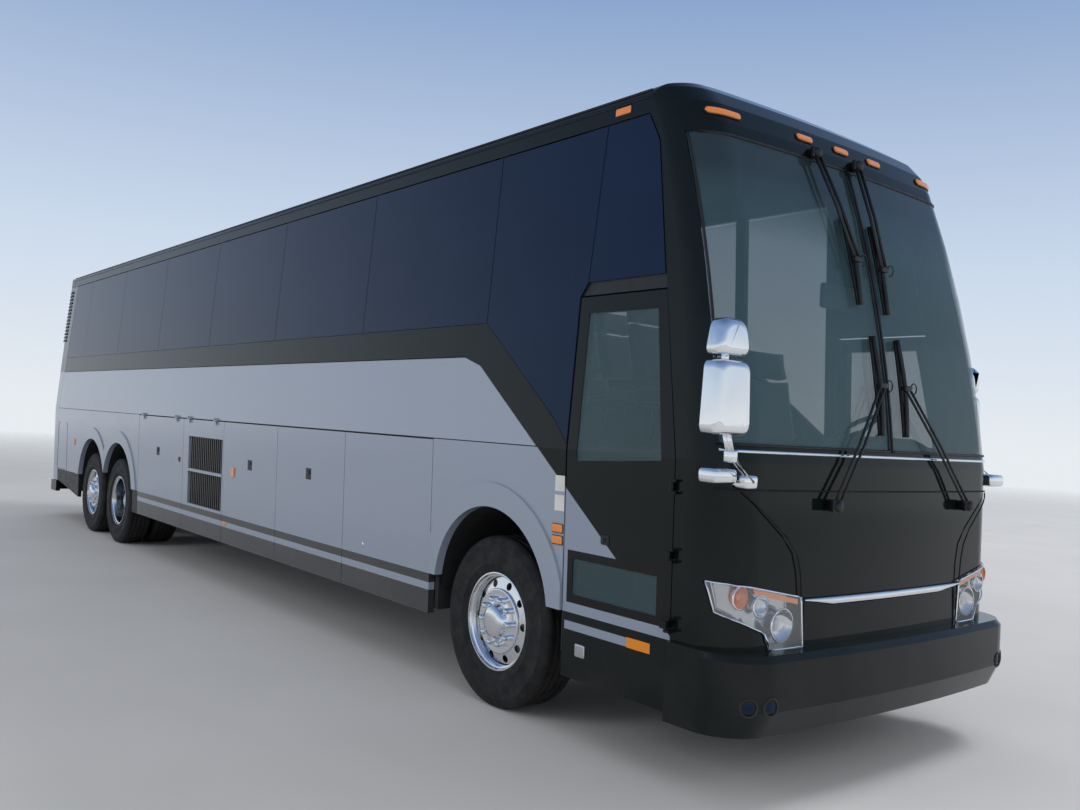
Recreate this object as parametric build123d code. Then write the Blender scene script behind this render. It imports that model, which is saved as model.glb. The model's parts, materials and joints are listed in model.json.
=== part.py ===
from build123d import *
import os
from math import sqrt, sin, cos, tan, radians

os.makedirs("parts", exist_ok=True)

# Coach bus with three axles. X forward, Y left, Z up, ground at Z 0, millimetres.
# The origin is on the ground, midway along and across the coach.

# Driving sizes
LENGTH = 13720
WIDTH = 2590
HEIGHT = 3700
WHEELBASE = 8030
TANDEM = 1220
FRONT_OVERHANG = 2050
TYRE_DIA = 1050
TYRE_WIDTH = 295

FRONT_X = LENGTH / 2 - FRONT_OVERHANG
DRIVE_X = FRONT_X - WHEELBASE
TAG_X = DRIVE_X - TANDEM
AXLE_Z = TYRE_DIA / 2
HALF = WIDTH / 2
NOSE_X = LENGTH / 2
TAIL_X = -LENGTH / 2

# Heights
SKIRT_Z = 350
BAY_DOOR_Z = 450
CREASE_Z = 1620
PALE_TOP_Z = 2167
PANE_LOW_Z = 2375
PANE_TOP_Z = 3450
DECK_Z = 1620
DECK_T = 60
BAY_FLOOR_Z = 530
BAY_FLOOR_T = 60
PLATFORM_Z = 1150
SILL_Z = 1700
GLASS_TOP_Z = 3310
BUMPER_TOP_Z = 720

# Body shape
TUCK = 0.03
LEAN = 0.055
NOSE_RADIUS = 12000
CORNER_RADIUS = 260
TAIL_RADIUS = 9000
TAIL_CORNER = 170
BUMPER_OUT = 120
RAKE_Z = 1000
RAKE_RADIUS = 6550
BROW_ANGLE = 20
BROW_ANGLES = (BROW_ANGLE, 35, 50, 65, 86)
RAKE_STEPS = 5
TAIL_LEAN = 0.045
TAIL_BUMPER_OUT = 60
ROOF_EDGE_RADIUS = 80
ROOF_CROWN = 80

# Thicknesses and gaps
WALL = 60
SKIN = 45
GLASS = 12
SEAM = 6
FIT = 0.3
DOOR_GAP = 12
POST = 90

# Entrance door on the right and driver's panel on the left, as x and z
DOOR_REAR_X = 5500
DOOR_FRONT_X = 6325
DOOR_TOP_Z = 2477
DOOR_TOP_FRONT_X = 6165

# Side panel seams
PANE_PITCH = 1644
PANE_SEAM_X = 4593
PANE_COUNT = 6
PANE_REAR_X = -6110
REAR_SLOPE = 0.14
PANE_FOOT = (5358, 1786)
PANE_FOOT_Z = 1650
POST_FOOT_Z = 1745
ARCH_PANEL_REAR_X = 4105
REAR_PANEL_X = -6324
REAR_CAP_FRONT_X = REAR_PANEL_X - SEAM
BAY_PITCH = 1258
BAY_DOORS = 3
GRILLE_DOOR_WIDTH = 1150
SERVICE_DOOR_REAR_X = DRIVE_X + 850

# Wheel arches
ARCH_RADIUS = 595
ARCH_CENTRE_X = FRONT_X - 30
ARCH_CENTRE_Z = 635
REAR_ARCH_RADIUS = 655
REAR_ARCH_CENTRE_Z = 590
FLARE = 150
FLARE_OUT = 14


def block(x0, x1, y0, y1, z0, z1):
    size = Box(x1 - x0, y1 - y0, z1 - z0)
    return Pos((x0 + x1) / 2, (y0 + y1) / 2, (z0 + z1) / 2) * size


def prism_y(points, y0, y1):
    face = make_face(Polyline(*[(x, y0, z) for x, z in points], close=True))
    return extrude(face, amount=y1 - y0, dir=(0, 1, 0))


def prism_x(points, x0, x1):
    face = make_face(Polyline(*[(x0, y, z) for y, z in points], close=True))
    return extrude(face, amount=x1 - x0, dir=(1, 0, 0))


def prism_z(points, z0, z1):
    face = make_face(Polyline(*[(x, y, z0) for x, y in points], close=True))
    return extrude(face, amount=z1 - z0, dir=(0, 0, 1))


def rod_y(x, z, radius, y0, y1):
    return Pos(x, (y0 + y1) / 2, z) * Rot(90, 0, 0) * Cylinder(radius, abs(y1 - y0))


def rod_x(y, z, radius, x0, x1):
    return Pos((x0 + x1) / 2, y, z) * Rot(0, 90, 0) * Cylinder(radius, abs(x1 - x0))


def rod_z(x, y, radius, z0, z1):
    return Pos(x, y, (z0 + z1) / 2) * Cylinder(radius, abs(z1 - z0))


def rod_between(start, end, radius):
    line = Line(start, end)
    return sweep(Plane(origin=line @ 0, z_dir=line % 0) * Circle(radius), path=line)


def mirror_side(shape):
    return mirror(shape, about=Plane.XZ)


def both_sides(shape):
    return [shape, mirror_side(shape)]


def group(shapes):
    solids = []
    for shape in shapes:
        solids += shape.solids()
    return Compound(children=solids)


def save(shape, name):
    export_step(shape, f"parts/{name}.step")


# Shell of the body

def skin_y(z):
    if z < CREASE_Z:
        return HALF - TUCK * (CREASE_Z - z)
    return HALF - LEAN * (z - CREASE_Z)


def side_slab(z0, z1, x0, x1, d0, d1):
    """Slab of the left side between two depths below the skin."""
    levels = [z0, z1]
    if z0 < CREASE_Z < z1:
        levels = [z0, CREASE_Z, z1]
    outer = [(skin_y(z) - d0, z) for z in levels]
    inner = [(skin_y(z) - d1, z) for z in reversed(levels)]
    return prism_x(outer + inner, x0, x1)


def side_panel(outline, d0, d1):
    """Piece of the left side with an outline given as x, z points."""
    xs = [p[0] for p in outline]
    zs = [p[1] for p in outline]
    slab = side_slab(min(zs), max(zs), min(xs), max(xs), d0, d1)
    return prism_y(outline, 0, WIDTH) & slab


BODY_NOSE_X = NOSE_X - BUMPER_OUT
BODY_TAIL_X = TAIL_X + TAIL_BUMPER_OUT


def rake_x(z):
    return BODY_NOSE_X - max(z - RAKE_Z, 0) ** 2 / (2 * RAKE_RADIUS)


BROW_START_Z = RAKE_Z + RAKE_RADIUS * tan(radians(BROW_ANGLE))
BROW_RADIUS = (HEIGHT - BROW_START_Z) / (1 - sin(radians(BROW_ANGLE)))
BROW_CENTRE_X = rake_x(BROW_START_Z) - BROW_RADIUS * cos(radians(BROW_ANGLE))
BROW_CENTRE_Z = BROW_START_Z - BROW_RADIUS * sin(radians(BROW_ANGLE))


def tail_x(z):
    return BODY_TAIL_X + TAIL_LEAN * max(z - CREASE_Z, 0)


def plan(z, front, rear, half, inset):
    """Outline of the body seen from above at one height."""
    nose_r = NOSE_RADIUS - inset
    corner = CORNER_RADIUS - inset
    tail_r = TAIL_RADIUS - inset
    tail_c = TAIL_CORNER - inset
    nose_cx = front - nose_r
    corner_y = half - corner
    corner_x = nose_cx + sqrt((nose_r - corner) ** 2 - corner_y ** 2)
    share = nose_r / (nose_r - corner)
    join_x = nose_cx + (corner_x - nose_cx) * share
    join_y = corner_y * share
    direction_x = (corner_x - nose_cx) / (nose_r - corner)
    direction_y = corner_y / (nose_r - corner)
    bis_x = direction_x
    bis_y = direction_y + 1
    size = sqrt(bis_x ** 2 + bis_y ** 2)
    mid_x = corner_x + corner * bis_x / size
    mid_y = corner_y + corner * bis_y / size
    tail_cx = rear + tail_r
    rear_y = half - tail_c
    rear_x = tail_cx - sqrt((tail_r - tail_c) ** 2 - rear_y ** 2)
    share = tail_r / (tail_r - tail_c)
    tail_join_x = tail_cx + (rear_x - tail_cx) * share
    tail_join_y = rear_y * share
    bis_x = (rear_x - tail_cx) / (tail_r - tail_c)
    bis_y = rear_y / (tail_r - tail_c) + 1
    size = sqrt(bis_x ** 2 + bis_y ** 2)
    tail_mid_x = rear_x + tail_c * bis_x / size
    tail_mid_y = rear_y + tail_c * bis_y / size
    edges = [
        ThreePointArc((join_x, -join_y, z), (front, 0, z), (join_x, join_y, z)),
        ThreePointArc((join_x, join_y, z), (mid_x, mid_y, z), (corner_x, half, z)),
        Line((corner_x, half, z), (rear_x, half, z)),
        ThreePointArc((rear_x, half, z), (tail_mid_x, tail_mid_y, z), (tail_join_x, tail_join_y, z)),
        ThreePointArc((tail_join_x, tail_join_y, z), (rear, 0, z), (tail_join_x, -tail_join_y, z)),
        ThreePointArc((tail_join_x, -tail_join_y, z), (tail_mid_x, -tail_mid_y, z), (rear_x, -half, z)),
        Line((rear_x, -half, z), (corner_x, -half, z)),
        ThreePointArc((corner_x, -half, z), (mid_x, -mid_y, z), (join_x, -join_y, z)),
    ]
    return make_face(Wire(edges))


def lower_body(inset, bottom=SKIRT_Z):
    """Body below the crease, as a solid."""
    faces = []
    for z in (bottom, CREASE_Z):
        faces.append(plan(z, rake_x(z) - inset, tail_x(z) + inset, skin_y(z) - inset, inset))
    return loft(faces, ruled=True)


def upper_body(inset):
    """Body above the crease, with the raked front, the brow and the crowned roof."""
    levels = []
    step = (BROW_START_Z - CREASE_Z) / RAKE_STEPS
    for i in range(RAKE_STEPS):
        z = CREASE_Z + i * step
        slope = max(z - RAKE_Z, 0) / RAKE_RADIUS
        levels.append((z, rake_x(z) - inset * sqrt(1 + slope ** 2)))
    radius = BROW_RADIUS - inset
    for angle in BROW_ANGLES:
        a = radians(angle)
        levels.append((BROW_CENTRE_Z + radius * sin(a), BROW_CENTRE_X + radius * cos(a)))
    faces = []
    for z, front in levels:
        faces.append(plan(z, front, tail_x(z) + inset, skin_y(z) - inset, inset))
    return loft(faces, ruled=True) & roof_profile(inset)


def roof_profile(inset):
    """Cross-section of the upper body run along the coach."""
    edge_r = ROOF_EDGE_RADIUS - inset
    top = HEIGHT - inset
    edge_z = HEIGHT - ROOF_CROWN - ROOF_EDGE_RADIUS
    edge_y = skin_y(edge_z) - inset
    shoulder_y = edge_y - edge_r * 0.80
    shoulder_z = edge_z + edge_r * 0.93
    mid_y = edge_y - edge_r * 0.22
    mid_z = edge_z + edge_r * 0.60
    base_y = skin_y(CREASE_Z) - inset
    x0 = TAIL_X - 200
    wire = Wire([
        Line((x0, -base_y, CREASE_Z), (x0, base_y, CREASE_Z)),
        Line((x0, base_y, CREASE_Z), (x0, edge_y, edge_z)),
        ThreePointArc((x0, edge_y, edge_z), (x0, mid_y, mid_z), (x0, shoulder_y, shoulder_z)),
        ThreePointArc((x0, shoulder_y, shoulder_z), (x0, 0, top), (x0, -shoulder_y, shoulder_z)),
        ThreePointArc((x0, -shoulder_y, shoulder_z), (x0, -mid_y, mid_z), (x0, -edge_y, edge_z)),
        Line((x0, -edge_y, edge_z), (x0, -base_y, CREASE_Z)),
    ])
    return extrude(make_face(wire), amount=LENGTH + 400, dir=(1, 0, 0))


def cut_all(shape, tools):
    for tool in tools:
        shape = shape - tool
    return shape


UPPER = upper_body(0)
UPPER_GLASS = upper_body(GLASS)
UPPER_WALL = upper_body(WALL)
LOWER = lower_body(0)
LOWER_WALL = lower_body(WALL, SKIRT_Z - 10)
UPPER_SHELL = UPPER - UPPER_WALL
LOWER_SHELL = LOWER - LOWER_WALL

# Lines that the panels share, as x, z points of the left side
PALE_EDGE = [(4384, PALE_TOP_Z), (4566, 2110), (4719, 2000), (5231, CREASE_Z), (6353, BUMPER_TOP_Z)]
PALE_SLOPE = (PALE_EDGE[4][1] - PALE_EDGE[3][1]) / (PALE_EDGE[4][0] - PALE_EDGE[3][0])
PANEL_FRONT_X = DOOR_REAR_X - DOOR_GAP
POST_TOP_Z = PANE_TOP_Z + SEAM - FIT
REAR_EDGE_LOW_X = PANE_REAR_X - REAR_SLOPE * (PANE_TOP_Z - CREASE_Z)
TALL = HEIGHT + 200


def pale_z(x):
    return PALE_EDGE[3][1] + PALE_SLOPE * (x - PALE_EDGE[3][0])


def rear_edge_x(z):
    return PANE_REAR_X - REAR_SLOPE * (PANE_TOP_Z - z)


def front_edge_x(z):
    """Front edge of the entrance door and of the driver's side panel."""
    if z <= CREASE_Z:
        return DOOR_FRONT_X
    slope = (DOOR_TOP_FRONT_X - DOOR_FRONT_X) / (DOOR_TOP_Z - CREASE_Z)
    return DOOR_FRONT_X + slope * (z - CREASE_Z)


# Small pane over the entrance door, as x, z points
CORNER_PANE = [(5545, 2560), (6145, 2560), (6010, 3290), (5915, PANE_TOP_Z), (5590, PANE_TOP_Z)]


def pane_edge_x(z):
    """Front edge of the small pane in its upper part."""
    (x0, z0), (x1, z1) = CORNER_PANE[2], CORNER_PANE[3]
    return x0 + (x1 - x0) * (z - z0) / (z1 - z0)


# Roof with the front brow
def make_roof():
    low = PANE_TOP_Z + SEAM
    brow = GLASS_TOP_Z + SEAM
    region = prism_y([
        (TAIL_X, low), (pane_edge_x(low) + SEAM, low), (pane_edge_x(brow) + SEAM, brow),
        (NOSE_X, brow), (NOSE_X, TALL), (TAIL_X, TALL),
    ], -WIDTH, WIDTH)
    return UPPER_SHELL & region


# Front corner posts, windshield and divider
FRONT_CUT_X = 5800
WINDSHIELD_HALF_LOW = 1240
WINDSHIELD_HALF_TOP = 1165
DIVIDER = 26


def windshield_region(grow, y_inner=None):
    """Front view outline of the glass: the left pane, or both where no inner edge is given."""
    low = WINDSHIELD_HALF_LOW + grow
    top = WINDSHIELD_HALF_TOP + grow
    base = SILL_Z + SEAM - grow
    points = [(low, base), (top, GLASS_TOP_Z + grow)]
    if y_inner is None:
        points += [(-top, GLASS_TOP_Z + grow), (-low, base)]
    else:
        points += [(y_inner, GLASS_TOP_Z + grow), (y_inner, base)]
    return prism_x(points, FRONT_CUT_X, NOSE_X)


def make_corner_posts():
    base = SILL_Z + FIT
    top = GLASS_TOP_Z + SEAM - FIT
    region = prism_y([
        (front_edge_x(base) + SEAM, base), (NOSE_X, base), (NOSE_X, top),
        (pane_edge_x(top) + SEAM, top), (CORNER_PANE[2][0] + SEAM, CORNER_PANE[2][1]),
        (CORNER_PANE[1][0] + SEAM, CORNER_PANE[1][1]),
    ], -WIDTH, WIDTH)
    return (UPPER_SHELL & region) - windshield_region(SEAM)


def make_windshield():
    glass = UPPER - UPPER_GLASS
    return glass & windshield_region(0, DIVIDER / 2 + FIT)


def make_divider():
    region = block(FRONT_CUT_X, NOSE_X, -DIVIDER / 2, DIVIDER / 2, SILL_Z + FIT, GLASS_TOP_Z + SEAM - FIT)
    return UPPER_SHELL & region


# Front mask below the windshield, with pockets for the headlights
HEADLIGHT_BACK_X = 6425
HEADLIGHT_LOW_Z = BUMPER_TOP_Z + FIT
HEADLIGHT = [
    (1260, 1045), (1110, 1030), (758, 965), (735, HEADLIGHT_LOW_Z), (965, HEADLIGHT_LOW_Z),
    (1005, 800), (1235, 900),
]


def headlight_region(grow):
    face = make_face(Polyline(*[(HEADLIGHT_BACK_X, y, z) for y, z in HEADLIGHT], close=True))
    if grow:
        face = offset(face, amount=grow, kind=Kind.INTERSECTION)
    return extrude(face, amount=NOSE_X - HEADLIGHT_BACK_X, dir=(1, 0, 0))


def make_mask():
    low = prism_y([
        (DOOR_FRONT_X + SEAM, BUMPER_TOP_Z + FIT), (NOSE_X, BUMPER_TOP_Z + FIT),
        (NOSE_X, CREASE_Z), (DOOR_FRONT_X + SEAM, CREASE_Z),
    ], -WIDTH, WIDTH)
    high = prism_y([
        (DOOR_FRONT_X + SEAM, CREASE_Z), (NOSE_X, CREASE_Z),
        (NOSE_X, SILL_Z), (front_edge_x(SILL_Z) + SEAM, SILL_Z),
    ], -WIDTH, WIDTH)
    mask = (LOWER_SHELL & low) + (UPPER_SHELL & high)
    pocket = headlight_region(FIT)
    return cut_all(mask, [pocket, mirror_side(pocket)])


def make_headlights():
    lamp = LOWER_SHELL & headlight_region(0)
    return group(both_sides(lamp))


# Bumper, standing proud of the mask
BUMPER_LOW_Z = 330


def make_bumper():
    faces = []
    inner = []
    for z, out in ((BUMPER_LOW_Z, -60), (BUMPER_LOW_Z + 130, 0), (BUMPER_TOP_Z - 30, 0), (BUMPER_TOP_Z, -30)):
        faces.append(plan(z, NOSE_X + out, TAIL_X, HALF, 0))
    for z in (BUMPER_LOW_Z - 10, BUMPER_TOP_Z + 10):
        inner.append(plan(z, BODY_NOSE_X - WALL, TAIL_X, HALF - WALL, WALL))
    shell = loft(faces, ruled=True) - loft(inner, ruled=True)
    region = block(DOOR_FRONT_X + SEAM, NOSE_X + 10, -WIDTH, WIDTH, 0, HEIGHT)
    return shell & region


# Rear cap, with its window opening and the engine door opening
REAR_CUT_X = -6500
REAR_WINDOW = (900, 2420, 3250)
ENGINE_DOOR = (880, 560, 1580)
TAIL_LAMP = (930, 1200, 820, 1450)
REAR_BUMPER_TOP_Z = 540
REAR_BUMPER_LOW_Z = 380
VENTS = 9
VENT_LOW = 420
VENT_PITCH = 55
VENT_T = 26
VENT_HALF = 560
VENT_DEEP = 22


def make_rear_cap():
    low = prism_y([
        (TAIL_X, REAR_BUMPER_TOP_Z + SEAM), (REAR_CAP_FRONT_X, REAR_BUMPER_TOP_Z + SEAM),
        (REAR_EDGE_LOW_X - SEAM, CREASE_Z), (TAIL_X, CREASE_Z),
    ], -WIDTH, WIDTH)
    high = prism_y([
        (TAIL_X, CREASE_Z), (REAR_EDGE_LOW_X - SEAM, CREASE_Z), (PANE_REAR_X - SEAM, PANE_TOP_Z),
        (TAIL_X, PANE_TOP_Z),
    ], -WIDTH, WIDTH)
    cap = (LOWER_SHELL & low) + (UPPER_SHELL & high)
    half, z0, z1 = REAR_WINDOW
    cap = cap - block(TAIL_X, REAR_CUT_X, -half, half, z0, z1)
    half, z0, z1 = ENGINE_DOOR
    cap = cap - block(TAIL_X, REAR_CUT_X, -half, half, 0, z1)
    y0, y1, z0, z1 = TAIL_LAMP
    lamp = block(TAIL_X, REAR_CUT_X, y0, y1, z0, z1)
    return cut_all(cap, both_sides(lamp))


def make_rear_window():
    half, z0, z1 = REAR_WINDOW
    glass = UPPER - UPPER_GLASS
    return glass & block(TAIL_X, REAR_CUT_X, -half + FIT, half - FIT, z0 + FIT, z1 - FIT)


def make_tail_lamps():
    y0, y1, z0, z1 = TAIL_LAMP
    lamp = LOWER_SHELL & block(TAIL_X, REAR_CUT_X, y0 + FIT, y1 - FIT, z0 + FIT, z1 - FIT)
    return group(both_sides(lamp))


def make_engine_door():
    half, z0, z1 = ENGINE_DOOR
    region = block(TAIL_X, REAR_CUT_X, -half + DOOR_GAP, half - DOOR_GAP, z0 + SEAM, z1 - DOOR_GAP)
    door = LOWER_SHELL & region
    for i in range(VENTS):
        z = z0 + VENT_LOW + i * VENT_PITCH
        door = door - block(TAIL_X, BODY_TAIL_X + VENT_DEEP, -VENT_HALF, VENT_HALF, z, z + VENT_T)
    return door


def make_rear_bumper():
    outer = []
    inner = []
    for z in (REAR_BUMPER_LOW_Z, REAR_BUMPER_TOP_Z):
        outer.append(plan(z, NOSE_X, TAIL_X, HALF - 20, 0))
    for z in (REAR_BUMPER_LOW_Z - 10, REAR_BUMPER_TOP_Z + 10):
        inner.append(plan(z, NOSE_X, BODY_TAIL_X + WALL, HALF - WALL - 20, WALL))
    shell = loft(outer, ruled=True) - loft(inner, ruled=True)
    return shell & block(TAIL_X - 10, REAR_CAP_FRONT_X, -WIDTH, WIDTH, 0, HEIGHT)


# Side panels

def make_belt_panels():
    outline = [
        (rear_edge_x(PALE_TOP_Z), PALE_TOP_Z), PALE_EDGE[0], PALE_EDGE[1], PALE_EDGE[2], PALE_EDGE[3],
        (PANEL_FRONT_X, pale_z(PANEL_FRONT_X)), (PANEL_FRONT_X, PANE_FOOT_Z), PANE_FOOT,
        (PANE_SEAM_X, PANE_LOW_Z), (rear_edge_x(PANE_LOW_Z), PANE_LOW_Z),
    ]
    left = side_panel(outline, 0, WALL)
    return both_sides(left)


def make_pale_belt():
    outline = [
        (rear_edge_x(CREASE_Z), CREASE_Z + SEAM), (PALE_EDGE[3][0] - 3 * SEAM, CREASE_Z + SEAM),
        (PALE_EDGE[2][0] - SEAM, PALE_EDGE[2][1] - SEAM), (PALE_EDGE[1][0], PALE_EDGE[1][1] - SEAM),
        (PALE_EDGE[0][0], PALE_TOP_Z - SEAM), (rear_edge_x(PALE_TOP_Z), PALE_TOP_Z - SEAM),
    ]
    return both_sides(side_panel(outline, 0, WALL))


def arch_hole(x, radius, centre_z):
    circle = rod_y(x, centre_z, radius, 0, WIDTH)
    return circle + block(x - radius, x + radius, 0, WIDTH, 0, centre_z)


def flare(x, radius, centre_z, low, outline):
    """Raised lip round a wheel arch, kept inside the panel's outline."""
    big = radius + FLARE
    top = min(centre_z + big, CREASE_Z)
    slab = side_slab(low, top, x - big, x + big, -FLARE_OUT, SKIN)
    ring = arch_hole(x, big, centre_z) & slab
    return ring & prism_y(outline, 0, WIDTH)


def make_arch_panels():
    front_outline = [
        (ARCH_PANEL_REAR_X + SEAM / 2, BUMPER_TOP_Z), (PANEL_FRONT_X, BUMPER_TOP_Z),
        (PANEL_FRONT_X, pale_z(PANEL_FRONT_X) - SEAM), (PALE_EDGE[3][0] - SEAM, CREASE_Z),
        (ARCH_PANEL_REAR_X + SEAM / 2, CREASE_Z),
    ]
    front = side_panel(front_outline, 0, SKIN)
    front = front + flare(ARCH_CENTRE_X, ARCH_RADIUS, ARCH_CENTRE_Z, BUMPER_TOP_Z, front_outline)
    front = front - arch_hole(ARCH_CENTRE_X, ARCH_RADIUS, ARCH_CENTRE_Z)
    rear_outline = [
        (REAR_PANEL_X, BUMPER_TOP_Z), (SERVICE_DOOR_REAR_X - SEAM, BUMPER_TOP_Z),
        (SERVICE_DOOR_REAR_X - SEAM, CREASE_Z), (REAR_EDGE_LOW_X, CREASE_Z),
    ]
    rear = side_panel(rear_outline, 0, SKIN)
    for x in (DRIVE_X, TAG_X):
        rear = rear + flare(x, REAR_ARCH_RADIUS, REAR_ARCH_CENTRE_Z, BUMPER_TOP_Z, rear_outline)
    for x in (DRIVE_X, TAG_X):
        rear = rear - arch_hole(x, REAR_ARCH_RADIUS, REAR_ARCH_CENTRE_Z)
    return both_sides(front) + both_sides(rear)


def make_side_panels():
    return group(make_pale_belt() + make_arch_panels())


def make_lower_skirts():
    """Dark skirts: behind the rear arches, ahead of them and under the driver's side."""
    top = BUMPER_TOP_Z - FIT
    tag_rear = TAG_X - REAR_ARCH_RADIUS
    rear = side_panel([(REAR_PANEL_X, 560), (tag_rear, 400), (tag_rear, top), (REAR_PANEL_X, top)], 0, SKIN)
    ahead = side_panel([
        (DRIVE_X + REAR_ARCH_RADIUS, BAY_DOOR_Z), (SERVICE_DOOR_REAR_X - SEAM, BAY_DOOR_Z),
        (SERVICE_DOOR_REAR_X - SEAM, top), (DRIVE_X + REAR_ARCH_RADIUS, top),
    ], 0, SKIN)
    return group(both_sides(rear) + both_sides(ahead))


# Driver's side panel, in place of the entrance door on the left
DRIVER_WINDOW = [(5580, 1740), (6245, 1740), (6115, 2385), (5580, 2385)]
DOOR_OUTLINE = [
    (DOOR_REAR_X, SKIRT_Z + 10), (DOOR_FRONT_X, SKIRT_Z + 10), (DOOR_FRONT_X, CREASE_Z),
    (DOOR_TOP_FRONT_X, DOOR_TOP_Z), (DOOR_REAR_X, DOOR_TOP_Z),
]
DOOR_WINDOW = [(5580, 1560), (6232, 1600), (6115, 2385), (5580, 2385)]
STEP_WINDOW = [(5575, 820), (6225, 820), (6225, 1020), (5575, 1020)]


def inset_outline(points, gap):
    face = make_face(Polyline(*[(x, 0, z) for x, z in points], close=True))
    return extrude(offset(face, amount=-gap, kind=Kind.INTERSECTION), amount=WIDTH, dir=(0, 1, 0))


def outline_plate(points, gap, d0, d1):
    """Left side plate inside an outline, drawn back from it by a gap."""
    xs = [p[0] for p in points]
    zs = [p[1] for p in points]
    slab = side_slab(min(zs), max(zs), min(xs), max(xs), d0, d1)
    return slab & inset_outline(points, gap)


def make_driver_panel():
    panel = side_panel(DOOR_OUTLINE, 0, WALL)
    return panel - prism_y(DRIVER_WINDOW, 0, WIDTH)


def make_upper_frames():
    """Dark surround over the door and the driver's panel, round the small pane."""
    outline = [
        (PANEL_FRONT_X, DOOR_TOP_Z + DOOR_GAP), (front_edge_x(DOOR_TOP_Z) - SEAM, DOOR_TOP_Z + DOOR_GAP),
        (CORNER_PANE[1][0], CORNER_PANE[1][1]), CORNER_PANE[2], (CORNER_PANE[3][0], POST_TOP_Z),
        (PANEL_FRONT_X, POST_TOP_Z),
    ]
    return both_sides(side_panel(outline, GLASS, WALL))


# Side glass: the table gives each pane's outline as x, z points
def pane_outlines():
    panes = []
    for i in range(PANE_COUNT):
        x1 = PANE_SEAM_X - i * PANE_PITCH
        panes.append([(x1 - PANE_PITCH, PANE_LOW_Z), (x1, PANE_LOW_Z), (x1, PANE_TOP_Z),
                      (x1 - PANE_PITCH, PANE_TOP_Z)])
    x1 = PANE_SEAM_X - PANE_COUNT * PANE_PITCH
    panes.append([(rear_edge_x(PANE_LOW_Z), PANE_LOW_Z), (x1, PANE_LOW_Z), (x1, PANE_TOP_Z),
                  (rear_edge_x(PANE_TOP_Z), PANE_TOP_Z)])
    panes.append([(PANE_SEAM_X, PANE_LOW_Z), PANE_FOOT, (PANEL_FRONT_X, PANE_FOOT_Z),
                  (PANEL_FRONT_X, DOOR_TOP_Z + SEAM), CORNER_PANE[0], CORNER_PANE[4],
                  (PANE_SEAM_X, PANE_TOP_Z)])
    panes.append(CORNER_PANE)
    return panes


def make_side_windows():
    left = []
    for outline in pane_outlines():
        left.append(outline_plate(outline, SEAM / 2, 0, GLASS))
    right = [mirror_side(pane) for pane in left]
    driver = outline_plate(DRIVER_WINDOW, FIT, 4, 4 + GLASS)
    return group(left + right + [driver])


def make_window_posts():
    """Posts behind the panes, from the belt panel to the roof."""
    posts = []
    for i in range(PANE_COUNT + 1):
        x = PANE_SEAM_X - i * PANE_PITCH
        posts.append(side_slab(PANE_LOW_Z, POST_TOP_Z, x - POST / 2, x + POST / 2, GLASS, WALL))
    rear = [(rear_edge_x(PANE_LOW_Z), PANE_LOW_Z), (rear_edge_x(PANE_LOW_Z) + POST, PANE_LOW_Z),
            (PANE_REAR_X + POST, POST_TOP_Z), (PANE_REAR_X, POST_TOP_Z)]
    posts.append(side_panel(rear, GLASS, WALL))
    front = [(PANEL_FRONT_X - POST, POST_FOOT_Z), (PANEL_FRONT_X, PANE_FOOT_Z), (PANEL_FRONT_X, POST_TOP_Z),
             (PANEL_FRONT_X - POST, POST_TOP_Z)]
    posts.append(side_panel(front, GLASS, WALL))
    everything = []
    for post in posts:
        everything += both_sides(post)
    return group(everything + make_upper_frames())


# Floors, bulkheads and underframe
RAIL_Y = 1229
STEPS = ((-1190, 400), (-960, 650), (-720, 900))
STEP_T = 40
STEP_INNER_Y = -480
PLATFORM_T = 60
PLATFORM_REAR_X = 5050
BULK_T = 40
BEAM_Y = (380, 460)
BEAM_Z = (620, 770)
UNDER_Z = 480
TOW_Y = 300
TOW_Z = 400
TOW_T = 30
TOW_BORE_R = 20
TOW_HALF = 45
TOW_FRONT_X = 6540
TOW_REAR_X = -6545
CROSS_BAR = (6440, 6500, 400)
REAR_BAR = (-6650, -6600, 400, 600)
REAR_BAR_HALF = 1000
CROSS_BAR_HALF = 900
FRONT_WALLS = (ARCH_PANEL_REAR_X + SEAM, PANEL_FRONT_X - BULK_T - SEAM)
REAR_WALLS = (SERVICE_DOOR_REAR_X - SEAM - BULK_T, TAG_X - REAR_ARCH_RADIUS - BULK_T - SEAM)
BAY_FRONT_X = FRONT_WALLS[0]
BAY_REAR_X = REAR_WALLS[0] + BULK_T
GRILLE_DOOR_X = ARCH_PANEL_REAR_X - BAY_DOORS * BAY_PITCH
SERVICE_DOOR_X = GRILLE_DOOR_X - GRILLE_DOOR_WIDTH
FLOOR_LOW_Z = DECK_Z - DECK_T


def wall_plate(x0, x1, z0, z1, depth):
    """Plate across the coach whose ends follow the side at a depth below the skin."""
    left = [(skin_y(z0) - depth, z0), (skin_y(z1) - depth, z1)]
    right = [(-y, z) for y, z in reversed(left)]
    return prism_x(left + right, x0, x1)


def make_cabin_floor():
    end_x = -6400
    deck = block(end_x, PLATFORM_REAR_X, -RAIL_Y, RAIL_Y, FLOOR_LOW_Z, DECK_Z)
    tail = lower_body(WALL + FIT) & block(TAIL_X, end_x, -WIDTH, WIDTH, FLOOR_LOW_Z, DECK_Z)
    floor = deck + tail
    for side in (-1, 1):
        y0, y1 = sorted((side * (RAIL_Y - 30), side * RAIL_Y))
        floor = floor + block(end_x + 40, PLATFORM_REAR_X, y0, y1, FLOOR_LOW_Z, DECK_Z + 100)
    return floor


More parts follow.
